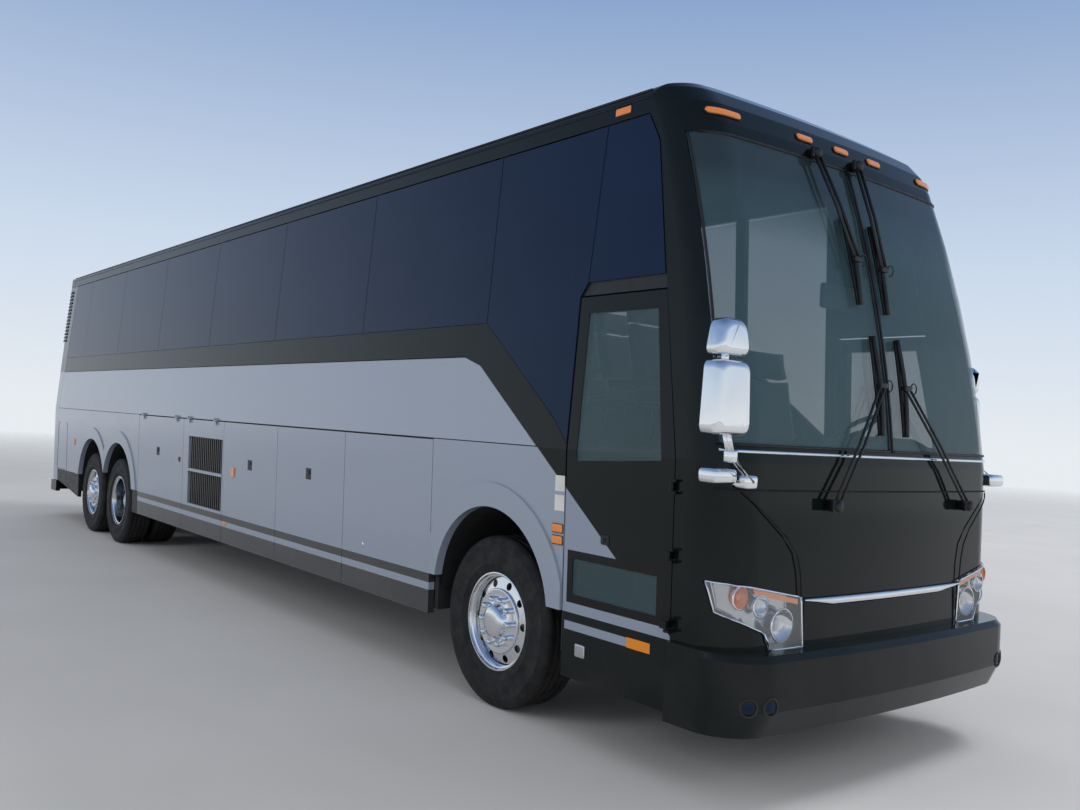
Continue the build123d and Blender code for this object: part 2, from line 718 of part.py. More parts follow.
def make_platform():
    """Driver's platform, riser to the deck and the entrance steps."""
    inside = lower_body(WALL + FIT)
    z0 = PLATFORM_Z - PLATFORM_T
    slab = inside & block(PLATFORM_REAR_X, NOSE_X, -WIDTH, WIDTH, z0, PLATFORM_Z)
    slab = slab - block(PANEL_FRONT_X - 1, DOOR_FRONT_X + SEAM, -WIDTH, STEP_INNER_Y, z0 - 10, PLATFORM_Z + 10)
    riser = block(PLATFORM_REAR_X, PLATFORM_REAR_X + STEP_T, -RAIL_Y, RAIL_Y, PLATFORM_Z, DECK_Z)
    steps = []
    x0 = PANEL_FRONT_X
    x1 = DOOR_FRONT_X + SEAM
    for i, (y, z) in enumerate(STEPS):
        y_next = STEPS[i + 1][0] if i + 1 < len(STEPS) else STEP_INNER_Y
        z_next = STEPS[i + 1][1] if i + 1 < len(STEPS) else PLATFORM_Z
        steps.append(block(x0, x1, y, y_next, z - STEP_T, z))
        steps.append(block(x0, x1, y_next, y_next + STEP_T, z - STEP_T, z_next))
    shape = slab + riser
    for step in steps:
        shape = shape + step
    return shape


def make_underframe():
    """Cross walls, beams between them, end bars and tow eyes, a hair apart so that each is convex."""
    front_wall, front_high_wall = FRONT_WALLS
    rear_wall, rear_far_wall = REAR_WALLS
    members = [
        wall_plate(front_wall, front_wall + BULK_T, UNDER_Z, FLOOR_LOW_Z, SKIN + FIT),
        wall_plate(front_high_wall, front_high_wall + BULK_T, UNDER_Z, PLATFORM_Z - PLATFORM_T, SKIN + FIT),
        wall_plate(rear_wall, rear_wall + BULK_T, UNDER_Z, FLOOR_LOW_Z, SKIN + FIT),
        wall_plate(rear_far_wall, rear_far_wall + BULK_T, UNDER_Z, FLOOR_LOW_Z, SKIN + FIT),
        block(CROSS_BAR[0], CROSS_BAR[1], -CROSS_BAR_HALF, CROSS_BAR_HALF, CROSS_BAR[2], BEAM_Z[1]),
    ]
    low, high = REAR_BAR[2:]
    inside = plan(low, NOSE_X, BODY_TAIL_X + WALL + FIT, HALF - WALL - 20 - FIT, WALL + FIT)
    bar = extrude(inside, amount=high - low, dir=(0, 0, 1))
    members.append(bar & block(TAIL_X, REAR_BAR[1], -REAR_BAR_HALF, REAR_BAR_HALF, low, high))
    post_x1 = REAR_BAR[1] - 10
    members.append(block(REAR_BAR[0], post_x1, -BEAM_Y[1], BEAM_Y[1], high + FIT, BEAM_Z[1]))
    beam_spans = (
        (front_wall + BULK_T, front_high_wall),
        (front_high_wall + BULK_T, CROSS_BAR[0]),
        (post_x1, rear_far_wall),
        (rear_far_wall + BULK_T, rear_wall),
    )
    for side in (-1, 1):
        y0, y1 = sorted((side * BEAM_Y[0], side * BEAM_Y[1]))
        for x0, x1 in beam_spans:
            members.append(block(x0 + FIT, x1 - FIT, y0, y1, BEAM_Z[0], BEAM_Z[1]))
        y0, y1 = side * TOW_Y - TOW_HALF, side * TOW_Y + TOW_HALF
        for bar_x, bore_x in ((CROSS_BAR[1], TOW_FRONT_X), (REAR_BAR[1], TOW_REAR_X)):
            plate = block(bar_x + FIT, bore_x + 40, y0, y1, TOW_Z, TOW_Z + TOW_T)
            members.append(plate - rod_z(bore_x, side * TOW_Y, TOW_BORE_R, TOW_Z - 1, TOW_Z + TOW_T + 1))
    return group(members)


def make_baggage_bay():
    floor = block(BAY_REAR_X, BAY_FRONT_X, -1180, 1180, BAY_FLOOR_Z - BAY_FLOOR_T, BAY_FLOOR_Z)
    bay = floor
    seams = [ARCH_PANEL_REAR_X - i * BAY_PITCH for i in range(1, BAY_DOORS + 1)] + [SERVICE_DOOR_X]
    for x in seams:
        plate = wall_plate(x - BULK_T / 2, x + BULK_T / 2, BAY_FLOOR_Z, FLOOR_LOW_Z, SKIN + 20)
        bay = bay + plate
    for x in seams[:BAY_DOORS]:
        for side in (-1, 1):
            bay = bay - rod_x(side * ARM_Y, ARM_Z, TUBE_R + PIN_GAP, x - BULK_T / 2, x + BULK_T / 2)
    block_x = BAY_FRONT_X - 60
    for side in (-1, 1):
        y0, y1 = sorted((side * (ARM_Y - 60), side * (ARM_Y + 40)))
        bearing = block(block_x, BAY_FRONT_X, y0, y1, ARM_Z - 50, FLOOR_LOW_Z)
        bearing = bearing - rod_x(side * ARM_Y, ARM_Z, TUBE_R + PIN_GAP, block_x - 1, block_x + 40)
        bay = bay + bearing
    return bay


# Baggage doors on swinging arms: each arm hangs from a tube and carries the door at its foot
ARM_Y = 1150
ARM_Z = 1490
ARM_FOOT_Z = 800
ARM_FOOT_Y = 1185
TUBE_R = 18
PIN_R = 10
PIN_GAP = 0.06
ARM_T = 14
ARM_INSET = 170
DOOR_TOP_GAP = SEAM


def bay_door_span(i):
    x1 = ARCH_PANEL_REAR_X - i * BAY_PITCH - SEAM / 2
    return x1 - BAY_PITCH + SEAM, x1


def make_bay_door(i):
    x0, x1 = bay_door_span(i)
    door = side_slab(BAY_DOOR_Z, CREASE_Z - DOOR_TOP_GAP, x0, x1, 0, SKIN)
    for x, step in ((x0 + ARM_INSET, 1), (x1 - ARM_INSET, -1)):
        lug_x0, lug_x1 = sorted((x + step * (ARM_T / 2 + 1), x + step * (ARM_T / 2 + 15)))
        inner = skin_y(ARM_FOOT_Z) - SKIN
        lug = block(lug_x0, lug_x1, ARM_FOOT_Y - 18, inner + 2, ARM_FOOT_Z - 22, ARM_FOOT_Z + 22)
        pin_x0, pin_x1 = sorted((x - step * (ARM_T / 2 + 2), x + step * (ARM_T / 2 + 10)))
        door = door + lug + rod_x(ARM_FOOT_Y, ARM_FOOT_Z, PIN_R, pin_x0, pin_x1)
    return door


def make_bay_arm(i):
    x0, x1 = bay_door_span(i)
    end0 = x0 + BULK_T / 2 - SEAM / 2 - 15
    end1 = x1 - BULK_T / 2 + SEAM / 2 + 15
    if i == 0:
        end1 = BAY_FRONT_X - 60 + 30
    arm = rod_x(ARM_Y, ARM_Z, TUBE_R, end0, end1)
    for x in (x0 + ARM_INSET, x1 - ARM_INSET):
        bar = prism_x([
            (ARM_Y - 22, ARM_Z), (ARM_Y + 22, ARM_Z), (ARM_FOOT_Y + 20, ARM_FOOT_Z), (ARM_FOOT_Y - 20, ARM_FOOT_Z),
        ], x - ARM_T / 2, x + ARM_T / 2)
        eye = rod_x(ARM_FOOT_Y, ARM_FOOT_Z, 20, x - ARM_T / 2, x + ARM_T / 2)
        head = rod_x(ARM_Y, ARM_Z, 28, x - ARM_T / 2, x + ARM_T / 2)
        arm = arm + bar + eye + head
        arm = arm - rod_x(ARM_FOOT_Y, ARM_FOOT_Z, PIN_R + PIN_GAP, x - ARM_T, x + ARM_T)
    return arm


# Top hinged doors: the condenser door with its grille, and the service door
HINGE_OUT = 15
HINGE_PIN_R = 5
HINGE_R = 11
HINGE_HALF = 36
GRILLE = (-651, 303, 742, 1440)
SLATS = 17
SLAT_T = 14


def top_hinge_axis_y():
    return HALF + HINGE_OUT


def top_hinge(x):
    """Pin with its feet on the fixed panel, and the barrel with its strap on the door."""
    y = top_hinge_axis_y()
    z = CREASE_Z
    pin = rod_x(y, z, HINGE_PIN_R, x - HINGE_HALF, x + HINGE_HALF)
    for x0 in (x - HINGE_HALF, x + HINGE_HALF - 12):
        pin = pin + block(x0, x0 + 12, HALF - 4, y + 7, z - 5, z + 26)
    strap = rod_x(y, z, HINGE_R, x - 20, x + 20) + block(x - 20, x + 20, HALF - 4, y + 4, z - 40, z - 5)
    bore = rod_x(y, z, HINGE_PIN_R + PIN_GAP, x - 30, x + 30)
    return pin, strap, bore


def top_hinge_places():
    places = []
    for x0, x1 in ((SERVICE_DOOR_X, GRILLE_DOOR_X), (SERVICE_DOOR_REAR_X, SERVICE_DOOR_X)):
        places.append([x0 + 200, x1 - 200])
    return places


def make_top_door(x0, x1, places):
    door = side_slab(BAY_DOOR_Z, CREASE_Z - SEAM, x0 + SEAM / 2, x1 - SEAM / 2, 0, SKIN)
    bores = []
    for x in places:
        pin, strap, bore = top_hinge(x)
        door = door + strap
        bores.append(bore)
    return cut_all(door, bores)


def make_condenser_door():
    door = make_top_door(SERVICE_DOOR_X, GRILLE_DOOR_X, top_hinge_places()[0])
    x0, x1, z0, z1 = GRILLE
    door = door - block(x0, x1, 0, WIDTH, z0, z1)
    pitch = (x1 - x0) / (SLATS + 1)
    for i in range(SLATS):
        x = x0 + pitch * (i + 1)
        door = door + side_slab(z0, z1, x - SLAT_T / 2, x + SLAT_T / 2, 8, SKIN - 8)
    middle = (z0 + z1) / 2
    return door + side_slab(middle - 14, middle + 14, x0 - 20, x1, -6, 20)


def make_service_door():
    return make_top_door(SERVICE_DOOR_REAR_X, SERVICE_DOOR_X, top_hinge_places()[1])


def top_hinge_pins():
    pins = []
    for places in top_hinge_places():
        for x in places:
            pins.append(top_hinge(x)[0])
    return pins


# Entrance door on the right, hinged at its front edge
ENTRY_HINGE_X = DOOR_FRONT_X + SEAM / 2
ENTRY_HINGE_Z = (800, 1140, 1480)


def make_entry_door():
    door = side_panel(DOOR_OUTLINE, 0, SKIN)
    door = cut_all(door, [prism_y(DOOR_WINDOW, 0, WIDTH), prism_y(STEP_WINDOW, 0, WIDTH)])
    y = HALF + HINGE_OUT
    bores = []
    for z in ENTRY_HINGE_Z:
        strap = block(ENTRY_HINGE_X - 34, ENTRY_HINGE_X - 5, skin_y(z) - 4, y + 4, z - 20, z + 20)
        door = door + rod_z(ENTRY_HINGE_X, y, HINGE_R, z - 20, z + 20) + strap
        bores.append(rod_z(ENTRY_HINGE_X, y, HINGE_PIN_R + PIN_GAP, z - 30, z + 30))
    return mirror_side(cut_all(door, bores))


def make_entry_glass():
    panes = []
    for outline in (DOOR_WINDOW, STEP_WINDOW):
        panes.append(mirror_side(outline_plate(outline, FIT, 4, 4 + GLASS)))
    return group(panes)


def entry_hinge_pins():
    pins = []
    y = HALF + HINGE_OUT
    for z in ENTRY_HINGE_Z:
        pin = rod_z(ENTRY_HINGE_X, y, HINGE_PIN_R, z - HINGE_HALF, z + HINGE_HALF)
        for z0 in (z - HINGE_HALF, z + HINGE_HALF - 12):
            pin = pin + block(ENTRY_HINGE_X - 5, ENTRY_HINGE_X + 30, HALF + 4, y + 6, z0, z0 + 12)
            pin = pin + block(DOOR_FRONT_X + SEAM, ENTRY_HINGE_X + 30, skin_y(z) - 25, HALF + 5, z0, z0 + 12)
        pins.append(mirror_side(pin))
    return pins


# Engine door at the rear, hinged at its top edge
REAR_HINGE_Z = ENGINE_DOOR[2] - DOOR_GAP / 2
REAR_HINGE_X = BODY_TAIL_X - HINGE_OUT
REAR_HINGE_Y = (-560, 560)


def rear_hinge(y):
    x = REAR_HINGE_X
    z = REAR_HINGE_Z
    pin = rod_y(x, z, HINGE_PIN_R, y - HINGE_HALF, y + HINGE_HALF)
    for y0 in (y - HINGE_HALF, y + HINGE_HALF - 12):
        pin = pin + block(x - 7, BODY_TAIL_X + 40, y0, y0 + 12, z - 5, z + 26)
    strap = rod_y(x, z, HINGE_R, y - 20, y + 20)
    strap = strap + block(x - 4, BODY_TAIL_X + 40, y - 20, y + 20, z - 40, z - 9)
    strap = strap + block(x - 4, x + 4, y - 20, y + 20, z - 40, z)
    bore = rod_y(x, z, HINGE_PIN_R + PIN_GAP, y - 30, y + 30)
    return pin, strap, bore


# Wheels, hubs, knuckles and axles
RIM_R = 298
TRACK_FRONT = 1085
TRACK_TAG = 1100
TWIN_OUTER = 1105
TWIN_INNER = 765
HUB_BORE_R = 40
HAND_HOLES = 10


def turned(points):
    """Solid turned about the Y axis from radius, y points."""
    face = make_face(Polyline(*[(r, y, 0) for r, y in points], close=True))
    return revolve(face, axis=Axis.Y)


def tyre_ring(y):
    half = TYRE_WIDTH / 2
    radius = TYRE_DIA / 2
    return turned([
        (RIM_R, y - half + 22), (RIM_R + 40, y - half + 8), (RIM_R + 120, y - half),
        (radius - 35, y - half + 8), (radius - 4, y - half + 26), (radius, y - half + 45),
        (radius, y + half - 45), (radius - 4, y + half - 26), (radius - 35, y + half - 8),
        (RIM_R + 120, y + half), (RIM_R + 40, y + half - 8), (RIM_R, y + half - 22),
    ])


def barrel(y):
    half = TYRE_WIDTH / 2 - 22
    return turned([
        (RIM_R, y - half), (RIM_R, y + half), (RIM_R - 8, y + half), (RIM_R - 18, y + half - 22),
        (RIM_R - 18, y - half + 22), (RIM_R - 8, y - half),
    ])


def rods_in_ring(y0, y1, ring_r, rod_r, count):
    rods = []
    for i in range(count):
        rods.append(Rot(0, 360 * i / count, 0) * rod_y(ring_r, 0, rod_r, y0, y1))
    return rods


def make_single_rim(y, bore_end):
    """Front and tag wheel: the disc stands near the outer face, with a domed hub."""
    disc = turned([(100, y + 96), (150, y + 112), (RIM_R - 15, y + 84), (RIM_R - 15, y + 70),
                   (150, y + 96), (100, y + 80)])
    hub = turned([(0, y - 70), (105, y - 70), (105, y + 118), (84, y + 150), (50, y + 166), (0, y + 170)])
    rim = barrel(y) + disc + hub
    rim = cut_all(rim, rods_in_ring(y + 40, y + 130, 232, 24, HAND_HOLES))
    for stud in rods_in_ring(y + 90, y + 136, 136, 15, HAND_HOLES):
        rim = rim + stud
    return rim - rod_y(0, 0, HUB_BORE_R + PIN_GAP, y - 80, bore_end + 1)


def make_twin_rim(bore_end):
    """Drive wheels: both discs meet midway, deep inside the outer rim."""
    middle = (TWIN_OUTER + TWIN_INNER) / 2
    waist = turned([(RIM_R - 30, TWIN_INNER + 100), (RIM_R - 12, TWIN_INNER + 100),
                    (RIM_R - 12, TWIN_OUTER - 100), (RIM_R - 30, TWIN_OUTER - 100)])
    disc = turned([(100, middle - 14), (RIM_R - 20, middle - 14), (RIM_R - 20, middle + 14), (100, middle + 14)])
    hub = turned([(0, middle - 90), (140, middle - 90), (140, middle + 60), (105, middle + 75),
                  (105, middle + 200), (80, middle + 220), (0, middle + 220)])
    rim = barrel(TWIN_OUTER) + barrel(TWIN_INNER) + waist + disc + hub
    rim = cut_all(rim, rods_in_ring(middle - 30, middle + 30, 226, 26, HAND_HOLES))
    for stud in rods_in_ring(middle + 10, middle + 60, 168, 15, HAND_HOLES):
        rim = rim + stud
    return rim - rod_y(0, 0, HUB_BORE_R + PIN_GAP, middle - 100, bore_end + 1)


SPINDLE_FRONT = (980, 1150)
SPINDLE_TAG = (860, 1160)
SPINDLE_DRIVE = (700, 1080)
KINGPIN_Y = 900
KINGPIN_R = 22
EYE_HALF = 60
LUG_T = 26


def at_wheel(shape, x):
    return Pos(x, 0, AXLE_Z) * shape


def make_front_axle():
    axle = block(-50, 50, -KINGPIN_Y + 50, KINGPIN_Y - 50, -EYE_HALF, EYE_HALF)
    for side in (-1, 1):
        y = side * KINGPIN_Y
        eye = rod_z(0, y, 58, -EYE_HALF, EYE_HALF)
        axle = axle + eye
        spring_y = side * (BEAM_Y[0] + BEAM_Y[1]) / 2
        axle = axle + rod_z(0, spring_y, 38, EYE_HALF - 2, BEAM_Z[0] - AXLE_Z)
    for side in (-1, 1):
        axle = axle - rod_z(0, side * KINGPIN_Y, KINGPIN_R + PIN_GAP, -EYE_HALF - 1, EYE_HALF + 1)
    return at_wheel(axle, FRONT_X)


def make_knuckle():
    pin = rod_z(0, KINGPIN_Y, KINGPIN_R, -EYE_HALF - LUG_T, EYE_HALF + LUG_T)
    knuckle = pin
    for z0 in (EYE_HALF + 1, -EYE_HALF - LUG_T):
        lug = rod_z(0, KINGPIN_Y, 48, z0, z0 + LUG_T - 1)
        knuckle = knuckle + lug + block(-48, 48, KINGPIN_Y, SPINDLE_FRONT[0], z0, z0 + LUG_T - 1)
    plate = block(-55, 55, SPINDLE_FRONT[0] - 16, SPINDLE_FRONT[0] + 6, -EYE_HALF - LUG_T, EYE_HALF + LUG_T)
    spindle = rod_y(0, 0, HUB_BORE_R, SPINDLE_FRONT[0], SPINDLE_FRONT[1])
    return at_wheel(knuckle + plate + spindle, FRONT_X)


def make_rear_axle(x, spindle, tube_r, ball_r):
    axle = rod_y(0, 0, tube_r, -spindle[0], spindle[0])
    for side in (-1, 1):
        y0, y1 = sorted((side * spindle[0], side * spindle[1]))
        axle = axle + rod_y(0, 0, HUB_BORE_R, y0, y1)
        spring_y = side * (BEAM_Y[0] + BEAM_Y[1]) / 2
        axle = axle + block(-60, 60, spring_y - 38, spring_y + 38, -20, BEAM_Z[0] - AXLE_Z)
    if ball_r:
        axle = axle + Sphere(ball_r) + rod_x(0, 0, 90, -ball_r, ball_r + 120)
    return at_wheel(axle, x)


def make_rear_axles():
    drive = make_rear_axle(DRIVE_X, SPINDLE_DRIVE, 75, 210)
    tag = make_rear_axle(TAG_X, SPINDLE_TAG, 60, 0)
    return group([drive, tag])


# Inside
SEAT_ROWS = 13
SEAT_PITCH = 830
SEAT_FRONT_X = 4300
SEAT_Y = (330, 1140)
SEAT_BASE_Z = 1950


def make_seats():
    seats = []
    for i in range(SEAT_ROWS):
        x = SEAT_FRONT_X - i * SEAT_PITCH
        body = prism_y([
            (x, SEAT_BASE_Z), (x + 460, SEAT_BASE_Z), (x + 470, SEAT_BASE_Z + 110), (x + 110, SEAT_BASE_Z + 130),
            (x - 60, SEAT_BASE_Z + 790), (x - 160, SEAT_BASE_Z + 790),
        ], *SEAT_Y)
        foot = block(x + 60, x + 330, SEAT_Y[0] + 150, SEAT_Y[1] - 140, DECK_Z, SEAT_BASE_Z)
        seats += both_sides(body + foot)
    return group(seats)


DRIVER_SEAT_BASE_Z = 1500
DRIVER_SEAT_Y = (400, 880)


def make_driver_seat():
    base = DRIVER_SEAT_BASE_Z
    body = prism_y([
        (5360, base), (5850, base), (5860, base + 110), (5480, base + 130), (5330, base + 830), (5220, base + 830),
    ], *DRIVER_SEAT_Y)
    return body + block(5420, 5740, DRIVER_SEAT_Y[0] + 100, DRIVER_SEAT_Y[1] - 100, PLATFORM_Z, base)


WHEEL_CENTRE = (6040, 640, 1770)
WHEEL_TILT = 50
DASH_TOP_Z = 1660


def column_point(distance):
    a = radians(WHEEL_TILT)
    x, y, z = WHEEL_CENTRE
    return (x + distance * cos(a), y, z - distance * sin(a))


def make_dashboard():
    main = prism_y([
        (6190, PLATFORM_Z), (6440, PLATFORM_Z), (6480, DASH_TOP_Z - 20), (6330, DASH_TOP_Z), (6160, 1500),
    ], -330, 1080)
    cowl = block(6340, 6470, -1060, 1060, PLATFORM_Z, DASH_TOP_Z - 40)
    shape = main + cowl
    return shape - rod_between(column_point(60), column_point(420), 22 + PIN_GAP)


def make_steering_wheel():
    start = column_point(0)
    direction = (cos(radians(WHEEL_TILT)), 0, -sin(radians(WHEEL_TILT)))
    plane = Plane(origin=start, x_dir=(0, 1, 0), z_dir=direction)
    wheel = plane * Torus(225, 15)
    wheel = wheel + plane * (Cylinder(60, 40))
    wheel = wheel + plane * Box(430, 36, 14) + plane * (Pos(0, 105, 0) * Box(36, 210, 14))
    return wheel + rod_between(column_point(0), column_point(360), 22)


ENGINE = (-6480, -5160, 470, 1480)


def make_engine():
    x0, x1, z0, z1 = ENGINE
    return block(x0, x1, -BEAM_Y[0] + FIT, BEAM_Y[0] - FIT, z0, z1)


# Mirrors, wipers, lamps and trim on the outside

def nose_surface_x(y, z):
    return rake_x(z) - (NOSE_RADIUS - sqrt(NOSE_RADIUS ** 2 - y ** 2))


MIRROR_OUT_Y = 1500
MIRROR_FRONT_X = 6650
MIRROR_BACK_X = 6330


def mirror_heads(x, inner_y):
    """Large head with the small one over it."""
    head = block(x, x + 110, inner_y, MIRROR_OUT_Y, 1745, 2095)
    head = fillet(head.edges(), 28)
    small = block(x + 5, x + 100, inner_y + 15, MIRROR_OUT_Y - 15, 2110, 2285)
    small = fillet(small.edges(), 25)
    return head + small + block(x + 30, x + 70, 1380, 1420, 2080, 2125)


def mirror_foot(x0, x1, y0, y1, z0, z1):
    foot = block(x0, x1, y0, y1, z0, z1) - UPPER - LOWER
    return max(foot.solids(), key=lambda solid: solid.volume)


def make_mirrors():
    """Right mirror ahead of the corner; the left one stands further back, beside the driver."""
    cap = mirror_foot(6540, 6665, 1240, 1375, 1515, 1595)
    foot = mirror_foot(6560, 6705, 1110, 1200, 1495, 1565)
    right = foot + rod_between((6685, 1150, 1530), (6690, 1310, 1650), 16)
    right = right + rod_between((6686, 1300, 1640), (6700, 1370, 1790), 16)
    right = right + mirror_heads(MIRROR_FRONT_X, 1240)
    left = rod_between((6600, 1320, 1560), (6420, 1370, 1690), 16)
    left = left + rod_between((6430, 1368, 1682), (6385, 1400, 1790), 16)
    left = left + mirror_heads(MIRROR_BACK_X, 1305) + cap
    return group([left, mirror_side(right), mirror_side(cap)])


# Wipers: base y, z, then blade y, low z and high z; the arm meets the blade at its middle
WIPERS = ((-560, 1420, -120, 1790, 2330), (760, 1410, 120, 1790, 2330),
          (-330, 3345, -190, 2500, 3000), (60, 3350, 60, 2470, 2980))
WIPER_OUT = 56


def make_wipers():
    wipers = []
    for base_y, base_z, blade_y, low, high in WIPERS:
        middle = (low + high) / 2
        base_x = nose_surface_x(base_y, base_z)
        start = (base_x + WIPER_OUT, base_y, base_z)
        end = (nose_surface_x(blade_y, middle) + WIPER_OUT, blade_y, middle)
        arm = rod_between(start, end, 9)
        foot = rod_x(base_y, base_z, 20, base_x - 60, base_x + WIPER_OUT + 10) - UPPER - LOWER
        foot = max(foot.solids(), key=lambda solid: solid.volume)
        x_low = nose_surface_x(blade_y, low)
        x_high = nose_surface_x(blade_y, high)
        blade = prism_y([(x_low + 10, low), (x_low + 62, low), (x_high + 62, high), (x_high + 10, high)],
                        blade_y - 9, blade_y + 9)
        wipers.append(arm + foot + blade)
    return group(wipers)


LAMP_OUT = 10


BROW_LAMP_Z = 3436
BROW_LAMPS = ((-969, 232), (-339, 146), (0, 146), (339, 146), (969, 232))
BROW_LAMP_OUT = 16
SIDE_LAMPS = ((5437, 1172, 98, 54), (5437, 1106, 98, 54), (5705, 3508, 128, 50), (-5370, 1160, 60, 90))


def make_marker_lamps():
    """Amber lamps: on the brow from a table of y and length, on the sides x, z, length and height."""
    rind = upper_body(-BROW_LAMP_OUT) - upper_body(-FIT)
    low, high = BROW_LAMP_Z - 22, BROW_LAMP_Z + 22
    lamps = []
    for y, length in BROW_LAMPS:
        lamps.append(rind & block(DOOR_FRONT_X - 300, NOSE_X, y - length / 2, y + length / 2, low, high))
    for x, z, length, height in SIDE_LAMPS:
        lamp = side_slab(z - height / 2, z + height / 2, x - length / 2, x + length / 2, -LAMP_OUT, -FIT)
        lamps += both_sides(lamp)
    return lamps


# Bright bar between the headlights and strip under the windshield: z, z, half width, standing out
FRONT_TRIM = ((916, 954, 732, 14), (1652, 1690, 1240, 10))


def make_front_trim():
    pieces = []
    for z0, z1, half, out in FRONT_TRIM:
        face = plan(z0, rake_x(z0) + out, TAIL_X, HALF + out, 0)
        bar = extrude(face, amount=z1 - z0, dir=(0, 0, 1)) & block(DOOR_FRONT_X, NOSE_X + 20, -half, half, z0, z1)
        pieces.append(bar - LOWER - UPPER)
    return pieces


# Build every node
def build():
    pins = top_hinge_pins()
    side_parts = make_pale_belt()
    left_belt = side_parts[0]
    for pin in pins:
        left_belt = left_belt + pin
    save(group(both_sides(left_belt) + make_arch_panels()), "side_panels")
    mask = make_mask()
    for pin in entry_hinge_pins():
        mask = mask + pin
    save(mask, "front_mask")
    cap = make_rear_cap()
    engine_door = make_engine_door()
    for y in REAR_HINGE_Y:
        pin, strap, bore = rear_hinge(y)
        cap = cap + pin
        engine_door = engine_door + strap
        engine_door = engine_door - bore
    save(cap, "rear_cap")
    save(engine_door, "engine_door")
    save(make_roof(), "roof_panel")
    save(group([make_corner_posts(), make_divider()]), "windshield_frame")
    save(group(both_sides(make_windshield())), "windshield_panes")
    save(make_headlights(), "headlights")
    save(group([make_bumper(), make_rear_bumper()]), "bumpers")
    save(make_tail_lamps(), "tail_lamps")
    save(group(make_belt_panels() + [make_driver_panel()]), "belt_panels")
    save(make_lower_skirts(), "lower_skirts")
    save(group([make_side_windows(), make_rear_window()]), "cabin_windows")
    save(make_window_posts(), "window_posts")
    save(make_cabin_floor() + make_platform(), "cabin_floor")
    save(make_underframe(), "underframe")
    save(make_baggage_bay(), "baggage_bay")
    save(make_engine(), "engine_block")
    save(make_front_axle(), "front_axle")
    save(make_rear_axles(), "rear_axles")
    save(make_seats(), "passenger_seats")
    save(make_driver_seat(), "driver_seat")
    save(make_dashboard(), "dashboard")
    save(make_steering_wheel(), "steering_wheel")
    save(make_mirrors(), "mirrors")
    save(make_wipers(), "wipers")
    save(group(make_marker_lamps()), "marker_lamps")
    save(group(make_front_trim()), "front_trim")
    save(make_entry_door(), "entry_door")
    save(make_entry_glass(), "entry_door_glass")
    wheels = (
        ("front", FRONT_X, [TRACK_FRONT], make_single_rim(TRACK_FRONT, SPINDLE_FRONT[1])),
        ("drive", DRIVE_X, [TWIN_OUTER, TWIN_INNER], make_twin_rim(SPINDLE_DRIVE[1])),
        ("tag", TAG_X, [TRACK_TAG], make_single_rim(TRACK_TAG, SPINDLE_TAG[1])),
    )
    sided = [("knuckle", make_knuckle()), ("condenser_door", make_condenser_door()),
             ("service_door", make_service_door())]
    for name, x, tracks, rim in wheels:
        sided.append((f"rim_{name}", at_wheel(rim, x)))
        sided.append((f"tyre_{name}", at_wheel(group([tyre_ring(y) for y in tracks]), x)))
    for i in range(BAY_DOORS):
        sided.append((f"bay_door_{i + 1}", make_bay_door(i)))
        sided.append((f"bay_arm_{i + 1}", make_bay_arm(i)))
    for name, shape in sided:
        save(shape, f"{name}_left")
        save(mirror_side(shape), f"{name}_right")


build()
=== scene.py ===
import json
import math
import bpy
import bmesh
from mathutils import Matrix, Vector


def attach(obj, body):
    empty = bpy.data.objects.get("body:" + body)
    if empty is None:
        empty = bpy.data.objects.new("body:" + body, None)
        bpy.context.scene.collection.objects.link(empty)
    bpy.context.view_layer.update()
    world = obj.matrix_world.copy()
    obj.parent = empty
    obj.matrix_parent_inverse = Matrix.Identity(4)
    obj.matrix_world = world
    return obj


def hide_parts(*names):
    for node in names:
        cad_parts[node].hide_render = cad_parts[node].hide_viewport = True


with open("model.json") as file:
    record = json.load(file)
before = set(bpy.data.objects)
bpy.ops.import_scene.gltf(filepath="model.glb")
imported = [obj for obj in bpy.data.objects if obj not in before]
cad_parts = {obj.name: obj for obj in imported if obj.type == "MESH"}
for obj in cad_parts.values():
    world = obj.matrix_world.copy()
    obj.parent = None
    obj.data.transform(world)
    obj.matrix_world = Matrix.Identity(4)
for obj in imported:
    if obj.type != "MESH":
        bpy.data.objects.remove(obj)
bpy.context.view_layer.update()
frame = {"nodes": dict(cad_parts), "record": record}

# Sizes repeated from the frame, in metres
FRONT_X = 4.81
DRIVE_X = -3.22
TAG_X = -4.44
AXLE_Z = 0.525
HALF = 1.295
HEIGHT = 3.70
CREASE_Z = 1.62
PALE_TOP_Z = 2.167
CLEAR_FROM_X = 2.949
SILL_Z = 1.70
GLASS_TOP_Z = 3.31
WINDSHIELD_HALF_LOW = 1.24
WINDSHIELD_HALF_TOP = 1.165
DIVIDER_EDGE_Y = 0.014
TUCK = 0.03
LEAN = 0.055
NOSE_X = 6.74
RAKE_Z = 1.0
RAKE_RADIUS = 6.55
NOSE_RADIUS = 12.0
CORNER_RADIUS = 0.26
BUMPER_X = 6.86
PALE_CORNER = (5.231, 1.62)
PALE_SLOPE = -0.8021
SIDES = (("left", 1), ("right", -1))
SEAT_ROWS = 13
SEAT_PITCH = 0.83
SEAT_FRONT_X = 4.3

scene = bpy.context.scene
scene.view_settings.view_transform = "Standard"


def skin_y(z):
    """Half width of the body at a height."""
    if z < CREASE_Z:
        return HALF - TUCK * (CREASE_Z - z)
    return HALF - LEAN * (z - CREASE_Z)


